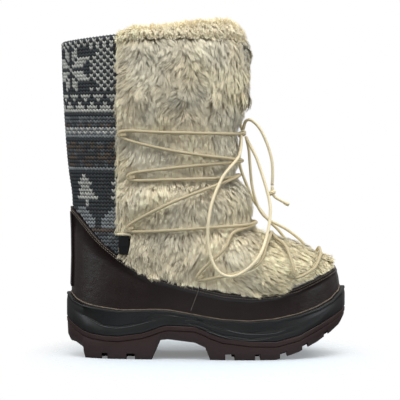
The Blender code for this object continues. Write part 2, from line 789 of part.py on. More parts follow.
def strand(loop, crossing, side, upper_end, lift, first=0.0):
    """Points from a crossing to a loop; upper_end says that it enters the loop from above."""
    angle, z_loop = loop_spots[loop]
    z_loop += LOOP_HALF_RUN if upper_end else -LOOP_HALF_RUN
    z_cross = level(CROSSINGS["height"][crossing])
    slope = CROSSINGS["slope"][crossing]
    sag = 0 if upper_end else CROSSINGS["sag"][crossing]
    points = []
    for i in range(STRAND_STEPS + 1):
        share = blend(first, 1, i / STRAND_STEPS)
        climb = slope * share + (1 - slope) * share ** 3
        z = blend(z_cross, z_loop, climb) - sag * math.sin(math.pi * share ** 3.5)
        points.append(over_coat(side * angle * share, z, lift))
    return points


KNOT_RADIUS = 4.7 * MM
knot_height = level(CROSSINGS["height"][-1])
knot_centre = over_coat(0, knot_height, KNOT_RADIUS + 2 * GAP)


def lace_route(side, lift):
    """Half of the zigzag, from beside the knot down to the bar over the toe."""
    last = len(loop_spots) - 1
    route = strand(last, last + 1, side, True, lift, KNOT_SHARE)
    for loop in range(last, -1, -1):
        down = strand(loop, loop, side, False, lift)
        route.extend(reversed(down))
        if loop > 0:
            side = -side
            route.extend(strand(loop - 1, loop, side, True, lift)[1:])
    return route


def clear_of(route, tree, distance):
    """Push a route's points off a surface until each stretch between them is clear too."""
    for _ in range(12):
        pushed = False
        for i in range(len(route) - 1):
            for share in (0, 0.25, 0.5, 0.75, 1):
                spot = Vector(blend(route[i], route[i + 1], share))
                hit, normal, _, found = tree.find_nearest(spot)
                signed = (spot - hit).dot(normal)
                if signed < distance and found < 0.01:
                    push = np.array(normal) * (distance - signed + 0.05 * MM)
                    route[i] = route[i] + push * (1 - share)
                    route[i + 1] = route[i + 1] + push * share
                    pushed = True
        if not pushed:
            break
    return route


def tube_sections(route, radius, sides):
    """Rings of points round a route, each turned as little as possible from the one before."""
    route = [np.asarray(point) for point in route]
    tangents = []
    for i in range(len(route)):
        ahead = route[min(i + 1, len(route) - 1)] - route[max(i - 1, 0)]
        tangents.append(ahead / np.linalg.norm(ahead))
    across = np.cross(tangents[0], [0.3, 0.2, 1.0])
    sections = []
    for point, tangent in zip(route, tangents):
        across = across - tangent * across.dot(tangent)
        across /= np.linalg.norm(across)
        upward = np.cross(tangent, across)
        turns = [2 * math.pi * k / sides for k in range(sides)]
        sections.append([point + radius * (math.cos(t) * across + math.sin(t) * upward) for t in turns])
    return sections


LACE_SIDES = 6
needed = LACE / 2 + 1.8 * GAP
outer_route = clear_of(lace_route(-1, lace_lift), coat_surface, needed)
inner_route = clear_of(lace_route(1, lace_lift + 0.4 * MM), coat_surface, needed)
lace_runs = {}
for first_side, route in ((-1, outer_route), (1, inner_route)):
    for order in range(len(loop_spots)):
        start = STRAND_STEPS + order * (2 * STRAND_STEPS + 1)
        side = first_side * (-1) ** order
        lace_runs[len(loop_spots) - order, side] = (route[start], route[start + 1])
outer_route.append(outer_route[-1] + np.array([0.3, 2.4, 0.4]) * MM)
inner_route.append(inner_route[-1] + np.array([0.0, -2.4, -0.4]) * MM)
lace_crossings = tube_solid("lace_crossings", tube_sections(outer_route, LACE / 2, LACE_SIDES), lace_cord)
inner_half = tube_solid("inner_half", tube_sections(inner_route, LACE / 2, LACE_SIDES), lace_cord)
combine(lace_crossings, inner_half, "UNION")

# Lace loops: an arch of flat cord over each straight run, with both feet on the fur.
STRAP_WIDTH = 2.4 * MM
STRAP_THICKNESS = 1.0 * MM
ARCH_HALF_SPAN = LACE / 2 + 3 * GAP + STRAP_THICKNESS / 2
lace_surface = surface_of(lace_crossings)


def lace_loop(name, number, side):
    """Arch over the lace's straight run through loop number on one side."""
    top, bottom = lace_runs[number, side]
    centre = (top + bottom) / 2
    upward = (top - bottom) / np.linalg.norm(top - bottom)
    angle, z = loop_spots[number - 1]
    normal = form_normal(side * angle, z)
    normal = normal - upward * normal.dot(upward)
    normal /= np.linalg.norm(normal)
    across = np.cross(upward, normal)
    route = []
    for side_share in (-1, 1):
        start = Vector(centre + across * side_share * ARCH_HALF_SPAN + normal * 8 * MM)
        foot = coat_surface.ray_cast(start, Vector(-normal))[0]
        feet = np.array(foot) + normal * 1.4 * GAP
        shoulder = centre + across * side_share * ARCH_HALF_SPAN
        crown = centre + across * side_share * ARCH_HALF_SPAN * 0.6 + normal * ARCH_HALF_SPAN * 0.85
        leg = [feet, shoulder, crown]
        route.extend(leg if side_share < 0 else reversed(leg))
    sections = []
    for i, point in enumerate(route):
        ahead = route[min(i + 1, len(route) - 1)] - route[max(i - 1, 0)]
        ahead /= np.linalg.norm(ahead)
        outward = np.cross(ahead, upward)
        half_up, half_out = upward * STRAP_WIDTH / 2, outward * STRAP_THICKNESS / 2
        sections.append([point - half_up - half_out, point - half_up + half_out,
                         point + half_up + half_out, point + half_up - half_out][::-1])
    return tube_solid(name, sections, lace_cord)


for number in range(1, len(loop_spots) + 1):
    lace_loop(f"lace_loop_outer_{number}", number, -1)
    lace_loop(f"lace_loop_inner_{number}", number, 1)

# Fur locks, fused onto the coat in staggered rows that keep clear of the lace.
LOCK_ROWS = {
    "row": [1.0, 1.2, 1.47, 2.0, 2.2, 2.40, 2.68, 2.93],
    "locks": [16, 12, 9, 7, 7, 7, 8, 8],
    "length": [0.8, 0.9, 0.9, 1.0, 0.7, 0.9, 1.0, 1.0],
}
LOCK_LENGTH = 0.024
LOCK_WIDTH = 0.012
LOCK_LIFT = 0.0022
LOCK_ROOT = 0.0015       # how deep a lock's root sits in the coat
LACE_ROOM = 0.0095       # kept free between a lock's spine and the lace


def lock(column, z, hem, length, sway):
    """A four-sided horn that grows out of the coat and lies down along it, or None near the lace."""
    angle = column * edge_angle(z)
    depth = coat_offset(column, z, hem)
    root = offset(angle, z, depth)
    normal = form_normal(angle, z)
    down = normal * normal[2] - np.array([0, 0, 1])
    down /= np.linalg.norm(down)
    across = np.cross(normal, down)
    down = down + across * sway
    rings = []
    for share, lift, width, thickness in ((0.0, -LOCK_ROOT, 1.0, -down * 0.35),
                                          (0.5, LOCK_LIFT, 0.85, normal * 0.17)):
        middle = root + down * length * share + normal * lift
        half = across * LOCK_WIDTH / 2 * width
        thick = thickness * LOCK_WIDTH
        rings.append([middle - half, middle - thick, middle + half, middle + thick])
    tip = root + down * length + normal * LOCK_LIFT * 0.5
    points = rings[0] + rings[1] + [tip]
    for i in range(9):
        spine = root + down * length * i / 8 + normal * LOCK_LIFT
        if lace_surface.find_nearest(Vector(spine))[3] < LACE_ROOM:
            return None
    faces = [(3, 2, 1), (3, 1, 0)]
    for i in range(4):
        j = (i + 1) % 4
        faces.extend([(i, j, 4 + j), (i, 4 + j, 4 + i), (4 + i, 4 + j, 8)])
    return points, faces


for order, row in enumerate(LOCK_ROWS["row"]):
    locks = []
    count = LOCK_ROWS["locks"][order]
    for i in range(count):
        column = -0.86 + 1.72 * (i + 0.5 * (order % 2)) / (count - 0.5)
        nearest = min(front_columns, key=lambda candidate: abs(candidate.column - column))
        z = nearest.height(row) + 5 * MM
        sway = 0.15 * math.sin(2.4 * i + order)
        made = lock(column, z, nearest.rand_top, LOCK_LENGTH * LOCK_ROWS["length"][order], sway)
        if made:
            locks.append(made)
    combine(fur_front, gather("locks", locks, fur_cream), "UNION")

# Fur roll on the rim, over the fur's part of the collar.
ROLL_SECTION = {
    "out": [-0.0075, -0.0085, -0.004, 0.003, 0.0085, 0.0105, 0.009],
    "up": [0.0, 0.45, 0.92, 1.0, 0.72, 0.35, 0.0],
}


def roll_section(column):
    """Section of the roll, as points out from the form and up from the collar."""
    base = column.collar + GAP
    height = ROLL_HEIGHT * roll_height(abs(column.column))
    narrow = blend(1.0, 0.7, abs(column.column) ** 6)
    angle = column_angle(column.column, COLLAR_HEIGHT)
    middle, normal = form(angle, COLLAR_HEIGHT), form_normal(angle, COLLAR_HEIGHT)
    section = []
    for out, up in zip(ROLL_SECTION["out"], ROLL_SECTION["up"]):
        x, y, _ = middle + normal * out * narrow
        section.append(np.array([x, y, base + height * up]))
    return section


fur_collar = tube_solid("fur_collar", [roll_section(column) for column in front_columns], fur_cream)

# Blank woven tab at the seam between fur and knit, just over the rand.
TAB = {"start": 0.197, "end": 0.232, "bottom": 0.828, "top": 0.97}
TAB_THICKNESS = 1.2 * MM


def tab_row(height, lift):
    row = []
    for share in (TAB["start"], TAB["end"]):
        z = level(height)
        back, front = form_back(z), form_front(z)
        angle = -math.acos((along(share) - (front + back) / 2) / ((front - back) / 2))
        row.append(over_coat(angle, z, lift))
    return row


tab_heights = (TAB["bottom"], (TAB["bottom"] + TAB["top"]) / 2, TAB["top"])
side_tab = patch_solid("side_tab",
                       [tab_row(height, 1.0 * MM + TAB_THICKNESS) for height in tab_heights],
                       [tab_row(height, 1.0 * MM) for height in tab_heights], tab_black)

# Knot, bow and ends. Their routes are chosen by hand, in millimetres.
BOW_OUTER = [
    (127.9, -4.5, 227.5), (127.5, -12.5, 217), (124.5, -22, 206), (116, -34.5, 196), (107, -42.5, 184),
    (98, -53, 163), (94, -59, 144), (93, -60.5, 125), (95.5, -62, 109), (100, -64, 97),
    (107, -65.5, 89.5), (116.5, -66, 87), (127, -66.5, 90.5), (137, -66, 98), (146, -60.5, 109),
    (152, -47, 123), (156, -38, 140), (157, -31, 156), (154, -25, 171.5), (149.5, -19, 187),
    (143.5, -13, 205), (137, -7, 218), (132.5, -3.6, 227.2),
]
BOW_INNER = [
    (127.9, 4.5, 227.5), (127, 13, 213), (127, 18, 197), (134, 20, 177), (141.5, 22, 160),
    (151, 25, 147), (159, 29, 137), (168, 36, 128), (175, 44, 119), (182, 52, 109),
    (189, 54, 103), (196, 47, 105), (195, 36, 113), (186, 27, 122), (176, 21, 129.5),
    (166, 17, 135), (157, 14, 140), (149, 12, 148), (143.5, 10, 160), (139.5, 8, 176),
    (137.5, 6, 195), (136, 4, 213), (133.1, 2.2, 226.2),
]
END_OUTER = [
    (130.0, -1.8, 234.6), (132.5, -5, 243), (138, -8, 244), (146.5, -11, 236), (153.5, -13, 222),
    (158.5, -15, 206), (160, -16, 192), (159.5, -17, 177),
]
END_INNER = [
    (128.9, 3.1, 234.1), (127, 13, 240), (120.5, 27, 238), (112.5, 39, 226), (106, 43, 212),
    (102.5, 47, 198), (100, 50, 184), (98.5, 53, 170), (98, 54, 155),
]


def smooth_route(points, spacing):
    """Even points along a smooth curve through hand-placed ones."""
    spots = np.array(points) * MM
    dense = []
    for i in range(len(spots) - 1):
        before, after = spots[max(i - 1, 0)], spots[min(i + 2, len(spots) - 1)]
        start, end = spots[i], spots[i + 1]
        for t in np.linspace(0, 1, 12, endpoint=False):
            dense.append(0.5 * (2 * start + (end - before) * t
                                + (2 * before - 5 * start + 4 * end - after) * t ** 2
                                + (3 * start - before - 3 * end + after) * t ** 3))
    dense.append(spots[-1])
    dense = np.array(dense)
    lengths = np.concatenate([[0], np.cumsum(np.linalg.norm(np.diff(dense, axis=0), axis=1))])
    count = max(2, round(lengths[-1] / spacing)) + 1
    wanted = np.linspace(0, lengths[-1], count)
    return [np.array([np.interp(at, lengths, dense[:, axis]) for axis in range(3)]) for at in wanted]


def cord(name, points):
    route = smooth_route(points, 3.3 * LACE)
    data = bpy.data.curves.new(name, "CURVE")
    data.dimensions = "3D"
    data.bevel_depth = LACE / 2
    data.bevel_resolution = 2
    data.use_fill_caps = True
    data.materials.append(lace_cord)
    spline = data.splines.new("POLY")
    spline.points.add(len(route) - 1)
    for point, place in zip(spline.points, route):
        point.co = (*place, 1)
    made = bpy.data.objects.new(name, data)
    bpy.context.scene.collection.objects.link(made)
    return made


knot_mesh = bmesh.new()
bmesh.ops.create_icosphere(knot_mesh, subdivisions=2, radius=KNOT_RADIUS)
knot_data = bpy.data.meshes.new("lace_knot")
knot_mesh.to_mesh(knot_data)
knot_mesh.free()
knot_data.materials.append(lace_cord)
knot_data.shade_smooth()
lace_knot = bpy.data.objects.new("lace_knot", knot_data)
lace_knot.location = knot_centre
bpy.context.scene.collection.objects.link(lace_knot)

cord("lace_bow_outer", BOW_OUTER)
cord("lace_bow_inner", BOW_INNER)
cord("lace_end_outer", END_OUTER)
cord("lace_end_inner", END_INNER)
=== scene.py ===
# %% [markdown]
# # A fur boot
# The boot is packed as a frame of plain solids. This file dresses that frame: long fur on the front,
# a knitted sock at the back, a leather rand, rubber below, and a cord that laces over the fur.
# Lengths are in metres. X runs to the toe, Y to the inner side of the foot and Z up.

# %% Load the frame
import json
import math

import bpy
import numpy as np
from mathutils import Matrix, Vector, kdtree, noise
from mathutils.bvhtree import BVHTree

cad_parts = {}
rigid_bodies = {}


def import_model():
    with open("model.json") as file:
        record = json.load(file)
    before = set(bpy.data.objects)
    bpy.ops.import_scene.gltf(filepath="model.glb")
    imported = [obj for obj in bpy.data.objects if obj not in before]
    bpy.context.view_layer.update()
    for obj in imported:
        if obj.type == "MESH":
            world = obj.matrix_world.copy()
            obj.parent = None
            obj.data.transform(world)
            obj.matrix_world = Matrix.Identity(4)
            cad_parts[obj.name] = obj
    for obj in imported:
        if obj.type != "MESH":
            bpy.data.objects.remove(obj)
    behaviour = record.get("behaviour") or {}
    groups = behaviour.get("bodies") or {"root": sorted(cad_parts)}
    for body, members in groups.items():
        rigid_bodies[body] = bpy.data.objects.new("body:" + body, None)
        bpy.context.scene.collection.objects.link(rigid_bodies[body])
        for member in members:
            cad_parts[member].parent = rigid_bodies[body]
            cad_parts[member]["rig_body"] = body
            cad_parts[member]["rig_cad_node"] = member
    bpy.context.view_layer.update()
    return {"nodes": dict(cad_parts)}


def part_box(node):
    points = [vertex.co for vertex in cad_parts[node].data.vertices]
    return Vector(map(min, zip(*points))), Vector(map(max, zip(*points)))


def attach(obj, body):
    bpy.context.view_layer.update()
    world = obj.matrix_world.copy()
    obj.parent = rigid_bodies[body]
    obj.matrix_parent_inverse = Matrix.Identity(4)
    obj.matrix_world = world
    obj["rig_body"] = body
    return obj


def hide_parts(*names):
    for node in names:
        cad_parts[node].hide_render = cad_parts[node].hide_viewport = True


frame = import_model()
nodes = frame["nodes"]
bpy.ops.object.select_all(action="DESELECT")
chance = np.random.default_rng(7)
MM = 0.001

# %% [markdown]
# ## Camera
# The photograph looks straight at the outer side, from just above the middle of the boot and from far
# away. A long lens keeps the far side from showing.

# %% Camera
LOOK_AT = Vector((0.0852, 0.0, 0.1611))
VIEW_WIDTH = 0.4158
VIEW_DISTANCE = 1.9
VIEW_RISE = math.radians(2.6)
camera_data = bpy.data.cameras.new("camera")
camera_data.lens = camera_data.sensor_width * VIEW_DISTANCE / VIEW_WIDTH
camera = bpy.data.objects.new("camera", camera_data)
camera.location = LOOK_AT + VIEW_DISTANCE * Vector((0, -math.cos(VIEW_RISE), math.sin(VIEW_RISE)))
camera.rotation_euler = (math.pi / 2 - VIEW_RISE, 0, 0)
bpy.context.scene.collection.objects.link(camera)
bpy.context.scene.camera = camera
print("lens:", round(camera_data.lens), "mm")

# %% [markdown]
# ## Reading the frame's surfaces
# Stitches, lace and fur follow the solids. A tree of a solid's faces answers two questions quickly: where
# does a ray from outside meet it, and what is the nearest point on it.


# %% Trees and rays
def arrays_of(name):
    mesh = nodes[name].data
    mesh.calc_loop_triangles()
    points = np.empty(len(mesh.vertices) * 3)
    mesh.vertices.foreach_get("co", points)
    corners = np.empty(len(mesh.loop_triangles) * 3, int)
    mesh.loop_triangles.foreach_get("vertices", corners)
    return points.reshape(-1, 3), corners.reshape(-1, 3)


def smooth_surface(name):
    """Points, corners and smooth normals of a node, with its doubled points joined."""
    points, corners = arrays_of(name)
    keys, first, inverse = np.unique(np.round(points, 6), axis=0, return_index=True, return_inverse=True)
    corners = inverse.ravel()[corners]
    faces = np.cross(keys[corners[:, 1]] - keys[corners[:, 0]], keys[corners[:, 2]] - keys[corners[:, 0]])
    normals = np.zeros_like(keys)
    for k in range(3):
        np.add.at(normals, corners[:, k], faces)
    normals /= np.maximum(np.linalg.norm(normals, axis=1), 1e-12)[:, None]
    return keys, corners, normals, faces


def tree_of(*names):
    points, corners, start = [], [], 0
    for name in names:
        own_points, own_corners = arrays_of(name)
        points.extend(own_points.tolist())
        corners.extend((own_corners + start).tolist())
        start += len(own_points)
    return BVHTree.FromPolygons(points, corners)


upper_tree = tree_of("upper")
rand_tree = tree_of("leather_rand")
coat_tree = tree_of("fur_front")
skin_tree = tree_of("fur_front", "leather_rand", "upper", "midsole")
SHAFT_AXIS = Vector((0.022, 0, 0))


def ray_in(tree, turn, height, axis=SHAFT_AXIS):
    """The point and normal that a level ray from outside meets, for a turn round the shaft."""
    outward = Vector((math.cos(turn), math.sin(turn), 0))
    start = Vector((axis.x, axis.y, height)) + outward * 0.30
    hit, normal, _, _ = tree.ray_cast(start, -outward)
    return hit, normal


def top_of(tree, turn, low, high, axis=SHAFT_AXIS):
    """The height at which the solid ends, seen along a turn."""
    for _ in range(13):
        middle = (low + high) / 2
        hit, _ = ray_in(tree, turn, middle, axis)
        outward = Vector((math.cos(turn), math.sin(turn), 0))
        inside = hit is not None and (hit - axis).dot(outward) > 0
        low, high = (middle, high) if inside else (low, middle)
    return low


# %% [markdown]
# ## Smooth routes and cords
# A real lace never has corners, so each given route is turned into a smooth curve first. The cord
# is then a tube round it. The tube carries its own map, round and along, which the weave follows later.


# %% Smooth route through given points
def distances(route):
    """How far along the route each of its points is."""
    return np.concatenate([[0], np.cumsum(np.linalg.norm(np.diff(route, axis=0), axis=1))])


def value_at(distance, along, values):
    """Three numbers that change along a route, at one distance."""
    return np.array([np.interp(distance, along, values[:, axis]) for axis in range(3)])


def smooth_route(points, spacing):
    """Even points along a smooth curve (Catmull-Rom) through the given ones."""
    spots = np.array(points, float)
    dense = []
    for i in range(len(spots) - 1):
        before, after = spots[max(i - 1, 0)], spots[min(i + 2, len(spots) - 1)]
        start, end = spots[i], spots[i + 1]
        for t in np.linspace(0, 1, 12, endpoint=False):
            dense.append(0.5 * (2 * start + (end - before) * t
                                + (2 * before - 5 * start + 4 * end - after) * t ** 2
                                + (3 * start - before - 3 * end + after) * t ** 3))
    dense.append(spots[-1])
    dense = np.array(dense)
    along = distances(dense)
    wanted = np.linspace(0, along[-1], max(2, round(along[-1] / spacing)) + 1)
    return np.array([value_at(distance, along, dense) for distance in wanted])


def route_length(route):
    return float(distances(route)[-1])


# %% Mesh from arrays, and a tube along a route
def mesh_object(name, points, faces):
    mesh = bpy.data.meshes.new(name)
    mesh.from_pydata([tuple(point) for point in points], [], [tuple(face) for face in faces])
    mesh.shade_smooth()
    made = bpy.data.objects.new(name, mesh)
    bpy.context.scene.collection.objects.link(made)
    return made


def tube(name, route, radius, sides=10):
    """A round tube with closed ends. Its map holds turns in U and diameters along in V."""
    route = np.asarray(route)
    tangents = np.gradient(route, axis=0)
    tangents /= np.linalg.norm(tangents, axis=1)[:, None]
    radii = np.broadcast_to(radius, len(route))
    across = np.cross(tangents[0], [0.3, 0.2, 1.0])
    points = []
    for point, tangent, size in zip(route, tangents, radii):
        across = across - tangent * across.dot(tangent)
        across /= np.linalg.norm(across)
        upward = np.cross(tangent, across)
        for k in range(sides):
            turn = 2 * math.pi * k / sides
            points.append(point + size * (math.cos(turn) * across + math.sin(turn) * upward))
    faces, maps = [], []
    along = distances(route) / (2 * float(np.max(radii)))
    for i in range(len(route) - 1):
        for k in range(sides):
            j = (k + 1) % sides
            faces.append((i * sides + k, i * sides + j, (i + 1) * sides + j, (i + 1) * sides + k))
            u0, u1 = k / sides, (k + 1) / sides
            maps.extend([(u0, along[i]), (u1, along[i]), (u1, along[i + 1]), (u0, along[i + 1])])
    last = (len(route) - 1) * sides
    faces.append(tuple(reversed(range(sides))))
    faces.append(tuple(last + k for k in range(sides)))
    maps.extend([(0.5, 0.0)] * (2 * sides))
    made = mesh_object(name, points, faces)
    layer = made.data.uv_layers.new(name="weave")
    layer.data.foreach_set("uv", np.array(maps, float).ravel())
    return made


# %% [markdown]
# ## The bow's loops and ends
# One woven cord laces the boot. Its bow is soft: both loops hang down the fur by their own weight, the
# outer one over the side and the inner one over the instep. The outer end stands out from the knot, and
# has a stopper knot with a short tail. The routes are those of the frame's solids.

# %% Routes of the bow, in millimetres
LACE = 3.2 * MM
BOW_OUTER = [
    (127.9, -4.5, 227.5), (127.5, -12.5, 217), (124.5, -22, 206), (116, -34.5, 196), (107, -42.5, 184),
    (98, -53, 163), (94, -59, 144), (93, -60.5, 125), (95.5, -62, 109), (100, -64, 97),
    (107, -65.5, 89.5), (116.5, -66, 87), (127, -66.5, 90.5), (137, -66, 98), (146, -60.5, 109),
    (152, -47, 123), (156, -38, 140), (157, -31, 156), (154, -25, 171.5), (149.5, -19, 187),
    (143.5, -13, 205), (137, -7, 218), (132.5, -3.6, 227.2),
]
BOW_INNER = [
    (127.9, 4.5, 227.5), (127, 13, 213), (127, 18, 197), (134, 20, 177), (141.5, 22, 160),
    (151, 25, 147), (159, 29, 137), (168, 36, 128), (175, 44, 119), (182, 52, 109),
    (189, 54, 103), (196, 47, 105), (195, 36, 113), (186, 27, 122), (176, 21, 129.5),
    (166, 17, 135), (157, 14, 140), (149, 12, 148), (143.5, 10, 160), (139.5, 8, 176),
    (137.5, 6, 195), (136, 4, 213), (133.1, 2.2, 226.2),
]
END_OUTER = [
    (130.0, -1.8, 234.6), (132.5, -5, 243), (138, -8, 244), (146.5, -11, 236), (153.5, -13, 222),
    (158.5, -15, 206), (160, -16, 192), (159.5, -17, 177),
]
END_INNER = [
    (128.9, 3.1, 234.1), (127, 13, 240), (120.5, 27, 238), (112.5, 39, 226), (106, 43, 212),
    (102.5, 47, 198), (100, 50, 184), (98.5, 53, 170), (98, 54, 155),
]


# %% Lay the four cords
def lace_part(piece, node=None):
    """A piece of the lace rides on the boot, and may stand for a node of the frame."""
    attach(piece, "root")
    if node:
        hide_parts(node)
    return piece


def free_cord(name, points, node):
    route = smooth_route(np.array(points) * MM, 0.7 * LACE)
    piece = lace_part(tube(name, route, LACE / 2), node)
    print(name, "is", round(route_length(route) / MM), "mm long")
    return piece


STOPPER = np.array((159.7, -17, 169.5)) * MM
TAIL = [(159.6, -17, 176.6), (159.8, -17, 169), (163, -17.5, 164.6), (169.5, -18, 160.8),
        (175.8, -18, 157.4), (176.9, -18, 156.8)]


def knot_turns(middle, radius, turns, steps=16):
    route = []
    for i in range(int(turns * steps) + 1):
        turn = 2 * math.pi * i / steps
        lean = 0.55 * math.sin(turn / 2 + 0.6)
        route.append(middle + radius * np.array([
            0.9 * math.cos(turn) * math.cos(lean), math.sin(turn), math.sin(lean) + 0.3 * math.cos(turn)]))
    return route


tail_route = smooth_route(np.array(TAIL) * MM, 0.7 * LACE)
tail_radii = np.full(len(tail_route), LACE * 0.48)
tail_radii[-3:] = LACE * np.array((0.62, 0.72, 0.55))
tail = tube("end_tail", tail_route, tail_radii)
stopper = tube("end_stopper", smooth_route(knot_turns(STOPPER, 2.5 * MM, 2.6), 0.8 * MM), LACE * 0.45)
lace_pieces = [lace_part(tail), lace_part(stopper)]
lace_pieces.append(free_cord("bow_outer", BOW_OUTER, "lace_bow_outer"))
lace_pieces.append(free_cord("bow_inner", BOW_INNER, "lace_bow_inner"))
lace_pieces.append(free_cord("end_outer", END_OUTER, "lace_end_outer"))
lace_pieces.append(free_cord("end_inner", END_INNER, "lace_end_inner"))

# %% [markdown]
# ## The lace over the fur
# Below the knot the lace zigzags down through five pairs of loops, one half starting on each side, and
# meets itself in a bar over the toe. The frame holds it as one solid, a six-sided tube, so its way is read
# from the mesh. Any three corners in a row of a ring give the ring's middle, since a regular hexagon's
# middle is the sum of two corners less the one between them. Edges then lead from ring to ring. Where the
# two halves cross over the front too little of some rings is left, and rays find the way across.


# %% Rings of the frame's tube
RING_SIDE = LACE / 2
RING_FIT = 0.03 * MM


def rings_of(points, edges):
    """The middle of each six-sided ring in a tube's mesh, and the ring of each point."""
    lengths = np.linalg.norm(points[edges[:, 0]] - points[edges[:, 1]], axis=1)
    beside = [[] for _ in points]
    for first, second in edges[np.abs(lengths - RING_SIDE) < RING_FIT]:
        beside[first].append(second)
        beside[second].append(first)
    middles, ring_of = [], np.full(len(points), -1)
    for start in range(len(points)):
        spans = [(a, b) for a in beside[start] for b in beside[start]
                 if abs(np.linalg.norm(points[a] - points[b]) - RING_SIDE * math.sqrt(3)) < RING_FIT]
        if ring_of[start] >= 0 or not spans:
            continue
        middle = points[spans[0][0]] + points[spans[0][1]] - points[start]
        members, reached = [], [start]
        while reached:
            corner = reached.pop()
            fits = abs(np.linalg.norm(points[corner] - middle) - RING_SIDE) < RING_FIT
            if fits and corner not in members and ring_of[corner] < 0:
                members.append(corner)
                reached += beside[corner]
        if len(members) >= 3:
            ring_of[members] = len(middles)
            middles.append(middle)
    return np.array(middles), ring_of


def chains_of(name):
    """Rows of ring middles as the tube's edges join them, each from its upper end, the highest first."""
    points, corners, _, _ = smooth_surface(name)
    pairs = np.concatenate([corners[:, [0, 1]], corners[:, [1, 2]], corners[:, [2, 0]]])
    edges = np.unique(np.sort(pairs, axis=1), axis=0)
    middles, ring_of = rings_of(points, edges)
    links = [set() for _ in middles]
    for first, second in ring_of[edges]:
        if first >= 0 and second >= 0 and first != second:
            links[first].add(second)
            links[second].add(first)
    chains, seen = [], set()
    for start in np.argsort(-middles[:, 2]):
        if start in seen or len(links[start]) != 1:
            continue
        chain, onward = [], [start]
        while onward:
            chain.append(onward[0])
            seen.add(onward[0])
            onward = [ring for ring in links[onward[0]] if ring not in seen]
        chains.append(middles[chain])
    return chains


# %% Way of each half
ACROSS_FRONT = 5.0 * MM
CROSSING_SEARCH = 6.0 * MM
lace_chains = chains_of("lace_crossings")
lace_tree = tree_of("lace_crossings")


def front_crossing(height):
    """Where the lace passes over the front of the boot, near a height."""
    heights = np.arange(height - CROSSING_SEARCH, height + CROSSING_SEARCH, 0.2 * MM)
    hits = [lace_tree.ray_cast(Vector((0.3, 0, z)), Vector((-1, 0, 0)))[0] for z in heights]
    hits = np.array([hit for hit in hits if hit])
    return np.array((hits[:, 0].max() - LACE / 2, 0, hits[:, 2].mean()))


def half_way(side):
    """One half of the lace, from beside the knot to the bar: chains, joined from side to side."""
    way = list(next(chain for chain in lace_chains if chain[0][1] * side > 0))
    while True:
        last = way[-1]
        others = [chain for chain in lace_chains
                  if chain[0][1] * last[1] < 0 and chain[0][2] < last[2] + CROSSING_SEARCH]
        if not others:
            return way
        onward = min(others, key=lambda chain: abs(chain[0][2] - last[2]))
        if min(abs(last[1]), abs(onward[0][1])) > ACROSS_FRONT:
            way.append(front_crossing((last[2] + onward[0][2]) / 2))
        way.extend(onward)


# %% Lay the zigzag
zigzags, lace_track = [], []
for side, label in ((-1, "outer"), (1, "inner")):
    way = half_way(side)
    zigzags.append(tube(f"zigzag_{label}", smooth_route(way, LACE), LACE / 2))
    lace_track.extend(smooth_route(way, 1.2 * MM))
    print("half", label, "has", len(way), "points and is", round(route_length(way) / MM), "mm long")
lace_pieces += [lace_part(piece, "lace_crossings") for piece in zigzags]

# %% [markdown]
# ## The knot
# The knot is the lace wrapped over itself, so it is drawn as a short cord that winds round the middle of
# the frame's ball, with one turn that lies across the others as the pulled end does.

# %% Knot
knot_low, knot_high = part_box("lace_knot")
knot_middle = np.array((knot_low + knot_high) / 2)
knot = tube("knot", smooth_route(knot_turns(knot_middle, 3.1 * MM, 3.4), 0.8 * MM), LACE * 0.52)
lace_pieces.append(lace_part(knot, "lace_knot"))

# %% [markdown]
# ## Formulas for materials
# A material is a drawing made of formulas. This small class wraps a node's output, so that a formula such
# as 0.2 + 0.5 * grain adds its Math nodes by itself, and one method adds every other kind of node.


# %% Wires and finishes
class Wire:
    """The output of a node. Sums and products of wires add Math nodes."""

    def __init__(self, finish, output):
        self.finish = finish
        self.output = output

    def maths(self, operation, first, second):
        made = self.finish.tree.nodes.new("ShaderNodeMath")
        made.operation = operation
        for socket, value in zip(made.inputs, (first, second)):
            self.finish.put(socket, value)
        return Wire(self.finish, made.outputs[0])

    def __add__(self, other):
        return self.maths("ADD", self, other)

    def __mul__(self, other):
        return self.maths("MULTIPLY", self, other)

    __radd__ = __add__
    __rmul__ = __mul__


